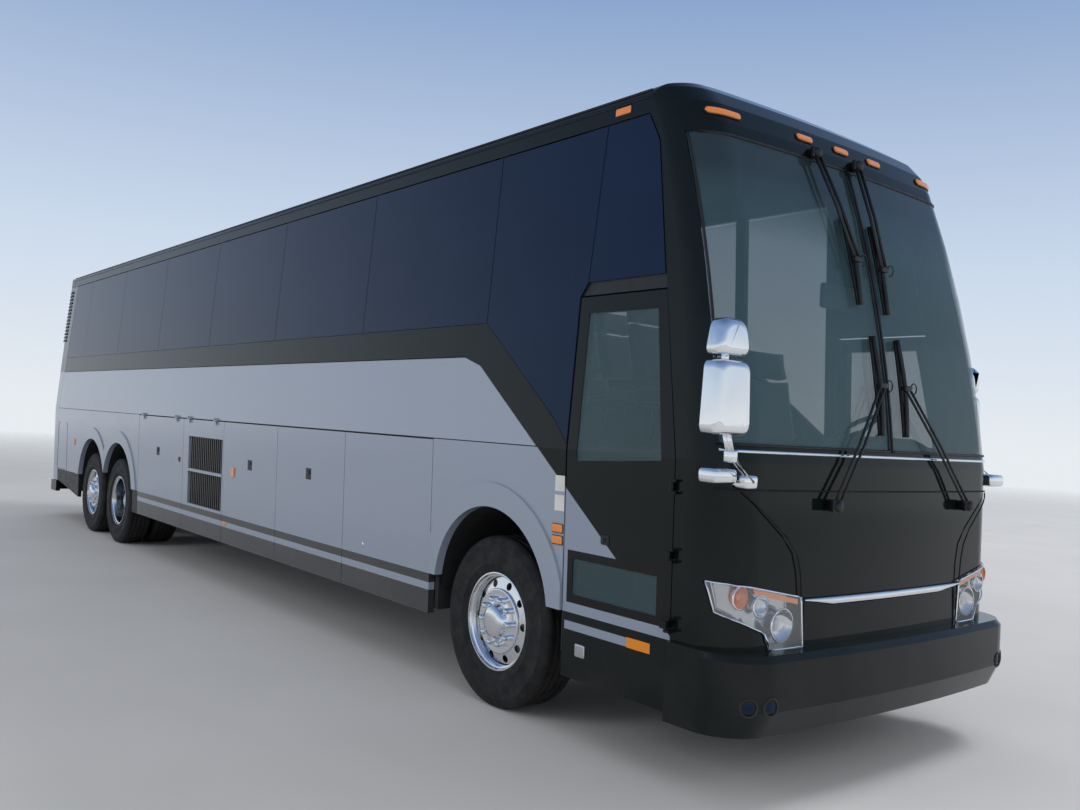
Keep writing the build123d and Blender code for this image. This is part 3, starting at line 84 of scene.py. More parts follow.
def plan_x(y, front, half):
    """Where a front face with rounded corners is at a place across."""
    centre = front - NOSE_RADIUS
    corner_y = half - CORNER_RADIUS
    reach = NOSE_RADIUS - CORNER_RADIUS
    if abs(y) <= NOSE_RADIUS * corner_y / reach:
        return centre + math.sqrt(NOSE_RADIUS ** 2 - y * y)
    corner_x = centre + math.sqrt(reach ** 2 - corner_y ** 2)
    return corner_x + math.sqrt(max(CORNER_RADIUS ** 2 - (abs(y) - corner_y) ** 2, 0))


def nose_x(y, z):
    """Where the raked front face is at a place across and a height."""
    return plan_x(y, NOSE_X - max(z - RAKE_Z, 0) ** 2 / (2 * RAKE_RADIUS), skin_y(z))


# Camera, as fitted to the photograph's 1080 by 810 frame
CAMERA_PLACE = Vector((9.704, -4.854, 1.739))
CAMERA_YAW = 2.46942
CAMERA_PITCH = 0.02187
CAMERA_ROLL = -0.05491
FOCAL_PX = 982.9
PHOTO_WIDTH = 1080
SENSOR = 36


def make_camera():
    forward = Vector((math.cos(CAMERA_YAW) * math.cos(CAMERA_PITCH),
                      math.sin(CAMERA_YAW) * math.cos(CAMERA_PITCH), math.sin(CAMERA_PITCH)))
    level = forward.cross(Vector((0, 0, 1))).normalized()
    down = forward.cross(level)
    right = math.cos(CAMERA_ROLL) * level + math.sin(CAMERA_ROLL) * down
    below = -math.sin(CAMERA_ROLL) * level + math.cos(CAMERA_ROLL) * down
    data = bpy.data.cameras.new("camera")
    data.sensor_width = SENSOR
    data.sensor_fit = "HORIZONTAL"
    data.lens = FOCAL_PX / PHOTO_WIDTH * SENSOR
    data.clip_end = 200
    camera = bpy.data.objects.new("camera", data)
    turn = Matrix((right, -below, -forward)).transposed().to_4x4()
    camera.matrix_world = Matrix.Translation(CAMERA_PLACE) @ turn
    scene.collection.objects.link(camera)
    scene.camera = camera


# Materials

def node(tree, kind, **values):
    new = tree.nodes.new(kind)
    for key, value in values.items():
        setattr(new, key, value)
    return new


def math_node(tree, operation, a, b=0.0):
    new = node(tree, "ShaderNodeMath", operation=operation)
    for i, value in enumerate((a, b)):
        if isinstance(value, (int, float)):
            new.inputs[i].default_value = value
        else:
            tree.links.new(value, new.inputs[i])
    return new.outputs[0]


def times(tree, a, b):
    return math_node(tree, "MULTIPLY", a, b)


def coords(tree):
    """The surface point at rest, in the shared frame."""
    return node(tree, "ShaderNodeTexCoord").outputs["Object"]


def mix_colour(tree, factor, a, b):
    new = node(tree, "ShaderNodeMix", data_type="RGBA")
    for name, value in ((0, factor), (6, a), (7, b)):
        if isinstance(value, tuple):
            new.inputs[name].default_value = (*value, 1.0)
        elif isinstance(value, float):
            new.inputs[name].default_value = value
        else:
            tree.links.new(value, new.inputs[name])
    return new.outputs[2]


def noise(tree, scale, detail=3.0, stretch=None):
    where = coords(tree)
    if stretch:
        mapping = node(tree, "ShaderNodeMapping")
        mapping.inputs["Scale"].default_value = stretch
        tree.links.new(where, mapping.inputs["Vector"])
        where = mapping.outputs["Vector"]
    new = node(tree, "ShaderNodeTexNoise")
    new.inputs["Scale"].default_value = scale
    new.inputs["Detail"].default_value = detail
    tree.links.new(where, new.inputs["Vector"])
    return new.outputs["Fac"]


def ramp(tree, factor, low, high, a=0.0, b=1.0):
    new = node(tree, "ShaderNodeMapRange")
    new.inputs["From Min"].default_value = low
    new.inputs["From Max"].default_value = high
    new.inputs["To Min"].default_value = a
    new.inputs["To Max"].default_value = b
    tree.links.new(factor, new.inputs["Value"])
    return new.outputs["Result"]


def place(tree):
    split = node(tree, "ShaderNodeSeparateXYZ")
    tree.links.new(coords(tree), split.inputs[0])
    return split.outputs


def add_bump(tree, shader, height, strength, distance=0.001):
    new = node(tree, "ShaderNodeBump")
    new.inputs["Strength"].default_value = strength
    new.inputs["Distance"].default_value = distance
    tree.links.new(height, new.inputs["Height"])
    tree.links.new(new.outputs["Normal"], shader.inputs["Normal"])


def start(name, **values):
    material = bpy.data.materials.new(name)
    material.use_nodes = True
    tree = material.node_tree
    shader = tree.nodes["Principled BSDF"]
    for key, value in values.items():
        shader.inputs[key.replace("_", " ")].default_value = value
    return material, tree, shader


def inside(tree, value, low, high):
    above = math_node(tree, "GREATER_THAN", value, low)
    below = math_node(tree, "LESS_THAN", value, high)
    return times(tree, above, below)


def paint(name, colour, zones=(), rough=0.16, flake_share=0.10, dust_share=0.16, coat=0.5, shine=0.5):
    """Gloss paint with fine flake, faint dust low down and zones of other colours."""
    material, tree, shader = start(name, Coat_Weight=coat, Coat_Roughness=0.04, Specular_IOR_Level=shine)
    x, y, z = place(tree)
    result = colour
    for make_mask, other in zones:
        result = mix_colour(tree, make_mask(tree, x, y, z), result, other)
    flake = noise(tree, 900.0, 1.0)
    shade = mix_colour(tree, ramp(tree, flake, 0.3, 0.7, 0.0, flake_share), result, (0.55, 0.57, 0.6))
    low = ramp(tree, z, 1.25, 0.3, 0.0, dust_share)
    dust = times(tree, low, ramp(tree, noise(tree, 3.0, 6.0), 0.35, 0.7))
    shade = mix_colour(tree, dust, shade, (0.33, 0.31, 0.29))
    tree.links.new(shade, shader.inputs["Base Color"])
    wear = ramp(tree, noise(tree, 6.0, 5.0), 0.3, 0.7, rough * 0.8, rough * 1.5)
    tree.links.new(math_node(tree, "ADD", wear, times(tree, dust, 1.2)),
                   shader.inputs["Roughness"])
    add_bump(tree, shader, noise(tree, 60.0, 2.0), 0.02)
    return material


def below_line(tree, x, y, z):
    """The pale triangle low on the entrance door and the driver's panel."""
    run = math_node(tree, "SUBTRACT", x, PALE_CORNER[0])
    line = math_node(tree, "ADD", times(tree, run, PALE_SLOPE), PALE_CORNER[1])
    under = math_node(tree, "LESS_THAN", math_node(tree, "SUBTRACT", z, line), 0.0)
    ahead = math_node(tree, "GREATER_THAN", x, 5.4)
    above_skirt = math_node(tree, "GREATER_THAN", z, 0.72)
    return times(tree, times(tree, under, ahead), above_skirt)


# Black low on the doors: the dark line just above the pale strip is the doors' own, the black below the strip
# is painted shade from the underbody.
def dark_line_and_painted_shade_band(tree, x, y, z):
    return math_node(tree, "LESS_THAN", z, 0.715)


def strip_band(tree, x, y, z):
    return inside(tree, z, 0.605, 0.655)


def area(x0, x1, z0, z1):
    """Mask of a rectangle on the side."""
    def mask(tree, x, y, z):
        return times(tree, inside(tree, x, x0, x1), inside(tree, z, z0, z1))
    return mask


DOOR_STRIP = area(5.52, 6.02, 0.625, 0.672)
DOOR_AMBER = area(6.02, 6.19, 0.622, 0.675)
STEP_FRAME = area(5.53, 6.27, 0.775, 1.065)
GRILLE = area(-0.651, 0.303, 0.742, 1.440)


def grille_area(tree, x, y, z):
    """The grille, but for the painted bar across it."""
    bar = inside(tree, z, 1.076, 1.106)
    return times(tree, GRILLE(tree, x, y, z), math_node(tree, "SUBTRACT", 1.0, bar))


def above_belt(tree, x, y, z):
    return math_node(tree, "GREATER_THAN", z, PALE_TOP_Z)


# Pale silver paint, written darker and bluer than its own colour: painted shade and bluish sky light of a
# side out of the sun.
PALE_IN_PAINTED_SHADE = (0.252, 0.299, 0.387)
DARK = (0.0035, 0.0060, 0.0058)
BLACK = (0.006, 0.006, 0.0065)
AMBER = (0.75, 0.25, 0.02)


def plastic(name, colour, rough):
    material, tree, shader = start(name)
    tone = mix_colour(tree, ramp(tree, noise(tree, 4.0, 5.0), 0.35, 0.7, 0.0, 0.35), colour,
                      tuple(min(c * 1.6 + 0.01, 1.0) for c in colour))
    tree.links.new(tone, shader.inputs["Base Color"])
    tree.links.new(ramp(tree, noise(tree, 18.0, 4.0), 0.3, 0.7, rough * 0.85, min(rough * 1.2, 1.0)),
                   shader.inputs["Roughness"])
    add_bump(tree, shader, noise(tree, 300.0, 2.0), 0.15)
    return material


def metal(name, colour, rough):
    material, tree, shader = start(name, Metallic=1.0)
    tone = mix_colour(tree, ramp(tree, noise(tree, 5.0, 5.0), 0.4, 0.75, 0.0, 0.25), colour,
                      tuple(c * 0.75 for c in colour))
    tree.links.new(tone, shader.inputs["Base Color"])
    tree.links.new(ramp(tree, noise(tree, 30.0, 4.0), 0.3, 0.7, rough * 0.7, rough * 1.4),
                   shader.inputs["Roughness"])
    add_bump(tree, shader, noise(tree, 80.0, 3.0), 0.03)
    return material


def cab_windows(tree, x, y, z):
    """The clearer panes: the front ones of the left side, and in part the entrance door's."""
    door = times(tree, math_node(tree, "GREATER_THAN", x, 5.5), inside(tree, z, 1.3, 2.5))
    left = times(tree, math_node(tree, "GREATER_THAN", x, CLEAR_FROM_X),
                     math_node(tree, "GREATER_THAN", y, 0.0))
    return math_node(tree, "MAXIMUM", times(tree, door, 0.45), left)


# Painted shade: towards its top the windshield turns darker and less clear, for the shadowed roof inside.
def painted_shade_band(tree, x, y, z):
    return ramp(tree, z, 2.75, 3.15)


def glass(name, colour, alpha, clear=None, shine=0.5, tint=(1.0, 1.0, 1.0)):
    """Sheet glass: a tint that partly hides what is behind it, under a clear reflection."""
    material, tree, shader = start(name, Roughness=0.03, IOR=1.5, Alpha=alpha,
                                   Specular_IOR_Level=shine, Specular_Tint=(*tint, 1.0))
    tone = mix_colour(tree, ramp(tree, noise(tree, 1.4, 3.0), 0.3, 0.7, 0.0, 0.5), colour,
                      tuple(c * 1.5 for c in colour))
    if clear:
        # The zone sets how clear and how dark the pane is: clearer cab panes on the dark glass, painted shade
        # at the windshield's top.
        share = clear[0](tree, *place(tree))
        tree.links.new(ramp(tree, share, 0.0, 1.0, alpha, clear[1]), shader.inputs["Alpha"])
        tone = mix_colour(tree, ramp(tree, share, 0.0, 1.0, 0.0, 0.8), tone, (0.01, 0.014, 0.02))
    tree.links.new(tone, shader.inputs["Base Color"])
    return material


def rubber():
    material, tree, shader = start("tyre_rubber", Specular_IOR_Level=0.3)
    grey = mix_colour(tree, ramp(tree, noise(tree, 9.0, 6.0), 0.35, 0.7), (0.009, 0.009, 0.010),
                      (0.022, 0.021, 0.020))
    tree.links.new(grey, shader.inputs["Base Color"])
    tree.links.new(ramp(tree, noise(tree, 25.0, 5.0), 0.3, 0.7, 0.55, 0.8), shader.inputs["Roughness"])
    add_bump(tree, shader, noise(tree, 260.0, 3.0), 0.2)
    return material


def fabric(colour):
    """Seat cloth: soft stripes and a fine weave."""
    material, tree, shader = start("seat_fabric", Sheen_Weight=0.5, Roughness=0.9)
    weave = noise(tree, 420.0, 2.0, (1.0, 1.0, 0.4))
    stripe = node(tree, "ShaderNodeTexWave", wave_type="BANDS", bands_direction="Y")
    stripe.inputs["Scale"].default_value = 9.0
    stripe.inputs["Distortion"].default_value = 1.5
    tree.links.new(coords(tree), stripe.inputs["Vector"])
    tone = mix_colour(tree, ramp(tree, stripe.outputs["Fac"], 0.4, 0.6, 0.0, 0.5), colour,
                      tuple(c * 2.0 for c in colour))
    tone = mix_colour(tree, ramp(tree, weave, 0.3, 0.7, 0.0, 0.4), tone, tuple(c * 0.4 for c in colour))
    tree.links.new(tone, shader.inputs["Base Color"])
    add_bump(tree, shader, weave, 0.4)
    return material


def lens(name, colour):
    """Lamp lens with moulded ribs."""
    material, tree, shader = start(name, Coat_Weight=1.0, Coat_Roughness=0.03)
    ribs = node(tree, "ShaderNodeTexWave", wave_type="BANDS", bands_direction="Z")
    ribs.inputs["Scale"].default_value = 60.0
    tree.links.new(coords(tree), ribs.inputs["Vector"])
    tone = mix_colour(tree, ramp(tree, ribs.outputs["Fac"], 0.0, 1.0, 0.0, 0.45), colour,
                      tuple(c * 0.55 for c in colour))
    tree.links.new(tone, shader.inputs["Base Color"])
    tree.links.new(ramp(tree, noise(tree, 20.0, 3.0), 0.3, 0.7, 0.08, 0.16), shader.inputs["Roughness"])
    add_bump(tree, shader, ribs.outputs["Fac"], 0.3, 0.002)
    return material


MATERIALS = {
    # The pale paint's colour carries painted shade.
    "pale_paint": paint("pale_paint", PALE_IN_PAINTED_SHADE, dust_share=0.08, coat=0.3),
    "dark_paint": paint("dark_paint", DARK, rough=0.07, flake_share=0.005, dust_share=0.03, coat=0.0,
                        shine=0.22),
    "dark_glass": glass("dark_glass", (0.006, 0.012, 0.030), 0.94, clear=(cab_windows, 0.35), shine=0.30,
                        tint=(0.25, 0.50, 1.0)),
    # Windshield: its blue-grey base is partly the glass's tint and partly a painted reflection of bright sky.
    "clear_glass": glass("clear_glass", (0.055, 0.105, 0.125), 0.42, clear=(painted_shade_band, 0.85)),
    "black_steel": plastic("black_steel", (0.02, 0.02, 0.021), 0.55),
    "floor_grey": plastic("floor_grey", (0.07, 0.075, 0.08), 0.7),
    "dash_plastic": plastic("dash_plastic", (0.05, 0.05, 0.052), 0.6),
    "seat_fabric": fabric((0.035, 0.04, 0.075)),
    "chrome": metal("chrome", (0.86, 0.87, 0.88), 0.05),
    "wheel_alloy": metal("wheel_alloy", (0.80, 0.81, 0.83), 0.12),
    "tyre_rubber": rubber(),
    "black_rubber": plastic("black_rubber", BLACK, 0.45),
    "amber_lens": lens("amber_lens", (0.85, 0.25, 0.01)),
    "red_lens": lens("red_lens", (0.45, 0.008, 0.008)),
    "clear_lens": glass("clear_lens", (0.45, 0.47, 0.5), 0.25),
    "engine_iron": metal("engine_iron", (0.18, 0.18, 0.19), 0.5),
}
CHROME = MATERIALS["chrome"]
DOOR_PAINT = paint("door_paint", PALE_IN_PAINTED_SHADE, dust_share=0.05, coat=0.3,
                   zones=((dark_line_and_painted_shade_band, BLACK), (strip_band, PALE_IN_PAINTED_SHADE)))
CONDENSER_PAINT = paint("condenser_paint", PALE_IN_PAINTED_SHADE, dust_share=0.05, coat=0.3,
                        zones=((dark_line_and_painted_shade_band, BLACK), (strip_band, PALE_IN_PAINTED_SHADE), (grille_area, BLACK)))
REAR_PAINT = paint("rear_paint", PALE_IN_PAINTED_SHADE, dust_share=0.05, coat=0.3, zones=((above_belt, DARK),))
TWO_TONE = paint("two_tone_paint", DARK, rough=0.07, flake_share=0.005, dust_share=0.03, coat=0.0, shine=0.22,
                 zones=((below_line, PALE_IN_PAINTED_SHADE), (STEP_FRAME, BLACK), (DOOR_STRIP, PALE_IN_PAINTED_SHADE), (DOOR_AMBER, AMBER)))
SIGN_WHITE = plastic("sign_white", (0.6, 0.6, 0.6), 0.4)
DARK_LINER = plastic("dark_liner", (0.008, 0.008, 0.008), 0.9)
SEAM_BLACK = plastic("seam_black", (0.003, 0.003, 0.003), 0.8)
BRIGHT = metal("lamp_housing", (0.62, 0.63, 0.65), 0.12)
BULB = glass("lamp_bulb", (0.6, 0.62, 0.65), 0.6)
MIRROR_FACE = metal("mirror_face", (0.9, 0.91, 0.92), 0.01)

SPECIAL = {
    "bay_door": DOOR_PAINT,
    "service_door": DOOR_PAINT,
    "condenser_door": CONDENSER_PAINT,
    "entry_door": TWO_TONE,
    "belt_panels": TWO_TONE,
    "rear_cap": REAR_PAINT,
}


def dress_nodes():
    slots = {}
    for row in frame["record"]["subparts"]:
        slots[row["node"]] = row["material_slot"]
    for name, obj in frame["nodes"].items():
        material = MATERIALS[slots[name]]
        for start_of_name, special in SPECIAL.items():
            if name.startswith(start_of_name) and not name.endswith("glass"):
                material = special
        obj.data.materials.clear()
        obj.data.materials.append(material)


# Mesh helpers

def from_bmesh(name, bm, slot, body="root", material=None, smooth=True):
    """New piece on a body, in the material of its slot unless another is given."""
    bmesh.ops.recalc_face_normals(bm, faces=bm.faces)
    mesh = bpy.data.meshes.new(name)
    bm.to_mesh(mesh)
    bm.free()
    piece = bpy.data.objects.new(name, mesh)
    scene.collection.objects.link(piece)
    if smooth:
        for face in mesh.polygons:
            face.use_smooth = True
    mesh.materials.append(material or MATERIALS[slot])
    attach(piece, body)
    return piece


def add_box(bm, low, high, bevel=0.0, turn=None):
    size = [h - l for l, h in zip(low, high)]
    centre = [(h + l) / 2 for l, h in zip(low, high)]
    matrix = Matrix.Translation(centre) @ (turn or Matrix()) @ Matrix.Diagonal((*size, 1))
    made = bmesh.ops.create_cube(bm, size=1.0, matrix=matrix)
    if bevel:
        edges = list(dict.fromkeys(e for v in made["verts"] for e in v.link_edges))
        bmesh.ops.bevel(bm, geom=edges, offset=bevel, segments=3, affect="EDGES", profile=0.5)


def add_lathe(bm, profile, centre, axis="Y", segments=64, turn=None):
    """Ring of radius, along points turned about an axis through the centre."""
    rings = []
    for i in range(segments):
        a = 2 * math.pi * i / segments
        ring = []
        for radius, along in profile:
            u, v = radius * math.cos(a), radius * math.sin(a)
            offset = {"Y": (u, along, v), "X": (along, u, v), "Z": (u, v, along)}[axis]
            offset = turn @ Vector(offset) if turn else Vector(offset)
            ring.append(bm.verts.new(Vector(centre) + offset))
        rings.append(ring)
    for i in range(segments):
        a, b = rings[i], rings[(i + 1) % segments]
        for j in range(len(profile) - 1):
            bm.faces.new((a[j], a[j + 1], b[j + 1], b[j]))


def add_tube(bm, points, radius, segments=12):
    """Round bar along points, closed at both ends."""
    rings = []
    for i, point in enumerate(points):
        before = Vector(points[max(i - 1, 0)])
        after = Vector(points[min(i + 1, len(points) - 1)])
        along = (after - before).normalized()
        side = along.orthogonal().normalized()
        other = along.cross(side)
        ring = []
        for k in range(segments):
            a = 2 * math.pi * k / segments
            ring.append(bm.verts.new(Vector(point) + radius * (math.cos(a) * side + math.sin(a) * other)))
        rings.append(ring)
    for a, b in zip(rings, rings[1:]):
        for k in range(segments):
            m = (k + 1) % segments
            bm.faces.new((a[k], a[m], b[m], b[k]))
    bm.faces.new(list(reversed(rings[0])))
    bm.faces.new(rings[-1])


# Tyres with their tread, and the bright trim of the wheels
TYRE_R = 0.525
RIM_R = 0.298
FRONT_Y = 1.085
DRIVE_Y = (1.105, 0.765)
TAG_Y = 1.100


def tyre_profile(y):
    """Closed section: sidewalls with two rings, and a tread with four grooves."""
    out = [(RIM_R, -0.125), (0.315, -0.137), (0.345, -0.1405), (0.349, -0.1440), (0.356, -0.1440),
           (0.360, -0.1425), (0.420, -0.1475), (0.465, -0.1455), (0.469, -0.1470), (0.474, -0.1440),
           (0.500, -0.137), (0.517, -0.126), (0.523, -0.112)]
    tread = [(TYRE_R, -0.105)]
    for groove in (-0.075, -0.027, 0.027, 0.075):
        tread += [(TYRE_R, groove - 0.007), (0.511, groove - 0.004), (0.511, groove + 0.004),
                  (TYRE_R, groove + 0.007)]
    tread.append((TYRE_R, 0.105))
    back = [(r, -a) for r, a in reversed(out)]
    section = out + tread + back
    section.append(section[0])
    return [(r, y + a) for r, a in section]


def make_tyres():
    for side, sign in SIDES:
        for name, x, places in (("front", FRONT_X, (FRONT_Y,)), ("drive", DRIVE_X, DRIVE_Y),
                                ("tag", TAG_X, (TAG_Y,))):
            bm = bmesh.new()
            for y in places:
                add_lathe(bm, tyre_profile(sign * y), (x, 0, AXLE_Z), segments=96)
            piece = from_bmesh(f"tread_{name}_{side}", bm, "tyre_rubber", f"wheel_{name}_{side}")
            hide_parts(f"tyre_{name}_{side}")


LUGS = 10
COVER = [(0.190, 0.098), (0.199, 0.104), (0.201, 0.110), (0.197, 0.116), (0.188, 0.117), (0.176, 0.113),
         (0.112, 0.120), (0.104, 0.126), (0.100, 0.150), (0.088, 0.164), (0.060, 0.172), (0.030, 0.1745),
         (0.001, 0.175)]
LIP = [(0.276, 0.112), (0.292, 0.118), (0.299, 0.124), (0.302, 0.129), (0.299, 0.133), (0.290, 0.131)]


def add_lugs(bm, x, face_y, ring_r, length, sign):
    """Domed covers of the wheel nuts."""
    cover = [(0.0195, 0.0), (0.0195, length * 0.6), (0.016, length * 0.85), (0.009, length * 0.97),
             (0.001, length)]
    for i in range(LUGS):
        a = 2 * math.pi * i / LUGS
        centre = (x + ring_r * math.cos(a), sign * face_y, AXLE_Z + ring_r * math.sin(a))
        add_lathe(bm, [(r, sign * along) for r, along in cover], centre, "Y", 16)


def make_wheel_trim():
    """Bright covers of front and tag wheels, and the lip and nuts of the drive wheels."""
    for side, sign in SIDES:
        for name, x, y in (("front", FRONT_X, FRONT_Y), ("tag", TAG_X, TAG_Y)):
            bm = bmesh.new()
            for profile in (COVER, LIP):
                add_lathe(bm, [(r, sign * (y + a)) for r, a in profile], (x, 0, AXLE_Z), segments=72)
            add_lugs(bm, x, y + 0.112, 0.138, 0.046, sign)
            from_bmesh(f"wheel_cover_{name}_{side}", bm, "wheel_alloy", f"wheel_{name}_{side}", CHROME)
        bm = bmesh.new()
        add_lathe(bm, [(r, sign * (DRIVE_Y[0] + a)) for r, a in LIP], (DRIVE_X, 0, AXLE_Z), segments=72)
        add_lugs(bm, DRIVE_X, 0.975, 0.168, 0.04, sign)
        from_bmesh(f"wheel_cover_drive_{side}", bm, "wheel_alloy", f"wheel_drive_{side}", CHROME)


# Front: seams, lamps and wipers

def on_nose(y, z, out=0.0):
    """Point on the front face, moved out along its normal in plan."""
    step = 0.004
    dx = nose_x(y + step, z) - nose_x(y - step, z)
    normal = Vector((2 * step, -dx, 0)).normalized()
    return Vector((nose_x(y, z), y, z)) + normal * out


def refine(points, step=0.04):
    """Points along a line of y, z places, no further apart than the step."""
    made = [points[0]]
    for (y0, z0), (y1, z1) in zip(points, points[1:]):
        count = max(int(math.hypot(y1 - y0, z1 - z0) / step), 1)
        for i in range(1, count + 1):
            t = i / count
            made.append((y0 + (y1 - y0) * t, z0 + (z1 - z0) * t))
    return made


def nose_bars(name, lines, radius, material=None):
    """Thin round beads along lines of y, z places on the front face."""
    bm = bmesh.new()
    for line in lines:
        add_tube(bm, [on_nose(y, z) for y, z in refine(line)], radius, 8)
    from_bmesh(name, bm, "black_rubber", material=material)


def both(line):
    return [line, [(-y, z) for y, z in line]]


FLAP = [(1.16, 1.477), (0.88, 1.268), (0.80, 1.18), (0.77, 1.084), (0.757, 0.97)]
NOSE_SEAMS = [[(-1.255, 1.489), (1.255, 1.489)], [(0.735, 0.965), (0.735, 0.72)],
              [(-0.735, 0.965), (-0.735, 0.72)]]
LAMP_OUTLINE = [(1.26, 1.045), (1.11, 1.03), (0.758, 0.965), (0.735, 0.7205), (0.965, 0.7205), (1.005, 0.8),
                (1.235, 0.90)]


def grid_places(values, per_metre):
    """Even places between the least and the greatest value."""
    first, last = int(min(values) * per_metre), int(max(values) * per_metre)
    return [k / per_metre for k in range(first + 1, last + 1)]


def nose_patch(bm, outline, out, sign):
    """Thin sheet over the front face inside an outline of y, z places."""
    ys, zs = zip(*outline)
    face = bm.faces.new([bm.verts.new((0, y, z)) for y, z in outline])
    geom = [face] + list(face.verts) + list(face.edges)
    cuts = [((0, y, 0), (0, 1, 0)) for y in grid_places(ys, 50)]
    cuts += [((0, 0, z), (0, 0, 1)) for z in grid_places(zs, 20)]
    for place_at, normal in cuts:
        kept = [g for g in geom if g.is_valid]
        result = bmesh.ops.bisect_plane(bm, geom=kept, plane_co=place_at, plane_no=normal)
        geom = list(dict.fromkeys(result["geom"] + [g for g in kept if g.is_valid]))
    for vert in geom:
        if vert.is_valid and isinstance(vert, bmesh.types.BMVert):
            vert.co = on_nose(sign * vert.co.y, vert.co.z, out)


def make_headlights():
    lenses = bmesh.new()
    rims = bmesh.new()
    housings = bmesh.new()
    bright = bmesh.new()
    amber = bmesh.new()
    bulbs = bmesh.new()
    for sign in (1, -1):
        nose_patch(lenses, LAMP_OUTLINE, 0.001, sign)
        nose_patch(housings, LAMP_OUTLINE, -0.055, sign)
        ring = LAMP_OUTLINE + LAMP_OUTLINE[:1]
        add_tube(rims, [on_nose(sign * y, z, 0.001) for y, z in refine(ring, 0.03)], 0.005, 8)
        for y, z, radius, bm in ((0.885, 0.832, 0.082, bright), (1.04, 0.935, 0.052, bright),
                                 (1.165, 0.975, 0.055, amber)):
            centre = on_nose(sign * y, z, -0.042)
            bowl = [(radius, 0.036), (radius * 0.96, 0.030), (radius * 0.8, 0.010), (radius * 0.5, 0.0),
                    (0.002, -0.004)]
            add_lathe(bm, bowl, centre, "X", 40)
            add_lathe(rims, [(radius + 0.004, 0.034), (radius + 0.004, 0.040), (radius - 0.002, 0.040)],
                      centre, "X", 40)
            dome = [(radius * 0.42 * math.cos(a), 0.012 + radius * 0.42 * math.sin(a))
                    for a in (0, 0.3, 0.6, 0.9, 1.2, 1.5)]
            add_lathe(bulbs if bm is bright else amber, dome, centre, "X", 24)
        strip = [(1.09, 1.018), (0.775, 0.956), (0.772, 0.93), (1.075, 0.992)]
        nose_patch(amber, strip, -0.006, sign)
    piece = from_bmesh("headlight_lenses", lenses, "clear_lens")
    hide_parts("headlights")
    from_bmesh("headlight_rims", rims, "chrome")
    from_bmesh("headlight_housings", housings, "chrome", material=BRIGHT)
    from_bmesh("headlight_bowls", bright, "chrome")
    from_bmesh("headlight_bulbs", bulbs, "clear_lens", material=BULB)
    from_bmesh("headlight_turn_lamps", amber, "amber_lens")


# Wipers: base y and z, then the blade's y, lowest and highest z
WIPERS = ((-0.56, 1.42, -0.12, 1.79, 2.33), (0.76, 1.41, 0.12, 1.79, 2.33),
          (-0.33, 3.345, -0.19, 2.50, 3.00), (0.06, 3.35, 0.06, 2.47, 2.98))
WIPER_HUB = [(0.001, 0.03), (0.02, 0.03), (0.03, 0.02), (0.03, -0.05), (0.001, -0.05)]
ROD_SPREAD = 0.023
HOSE_LOOP = 0.030
BLADE_OUT = 0.030
LIP_OUT = 0.014


def make_wipers():
    """Pairs of rods from a base to a holder that carries the blade, with a loop of washer hose."""
    bm = bmesh.new()
    for base_y, base_z, blade_y, low, high in WIPERS:
        middle = (low + high) / 2
        start = Vector((nose_x(base_y, base_z) + 0.045, base_y, base_z))
        end = Vector((nose_x(blade_y, middle) + 0.056, blade_y, middle))
        side = Vector((0, ROD_SPREAD, 0))
        thick = 0.0095 if base_z > 2.0 else 0.0075
        for shift in (-side, side):
            add_tube(bm, [start + shift, start.lerp(end, 0.5) + shift + Vector((0.012, 0, 0)), end + shift],
                     thick, 8)
        loop = []
        for i in range(15):
            a = 2 * math.pi * i / 18
            loop.append(end + Vector((0.006, ROD_SPREAD + HOSE_LOOP * (1 - math.cos(a)),
                                      HOSE_LOOP * math.sin(a))))
        add_tube(bm, loop, 0.004, 6)
        add_lathe(bm, WIPER_HUB, start, "X", 20)
        add_box(bm, start - Vector((0.012, 0.04, 0.03)), start + Vector((0.012, 0.04, 0.03)), 0.005)
        add_box(bm, end - Vector((0.016, 0.034, 0.014)), end + Vector((0.012, 0.034, 0.014)), 0.004)
        count = 12
        spine = []
        for i in range(count + 1):
            z = low + (high - low) * i / count
            arch = 0.012 * math.sin(math.pi * i / count)
            spine.append(Vector((nose_x(blade_y, z) + BLADE_OUT + arch, blade_y, z)))
        add_tube(bm, spine, 0.013, 8)
        add_tube(bm, [Vector((nose_x(blade_y, p.z) + LIP_OUT, blade_y, p.z)) for p in spine], 0.0115, 6)
        for i in (1, 4, 8, 11):
            foot = Vector((nose_x(blade_y, spine[i].z) + LIP_OUT, blade_y, spine[i].z))
            add_tube(bm, [spine[i], foot], 0.006, 6)
        add_tube(bm, [end, spine[count // 2]], 0.008, 8)
    piece = from_bmesh("wiper_sets", bm, "black_rubber")
    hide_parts("wipers")


BUMPER_LAMPS_Y = (1.077, 1.185)
BUMPER_LAMPS_Z = 0.488
LAMP_RING = [(0.036, -0.01), (0.036, 0.002), (0.041, 0.005), (0.046, 0.002), (0.048, -0.012)]
LAMP_FACE = [(0.036, -0.006), (0.026, -0.001), (0.012, 0.001), (0.001, 0.0015)]


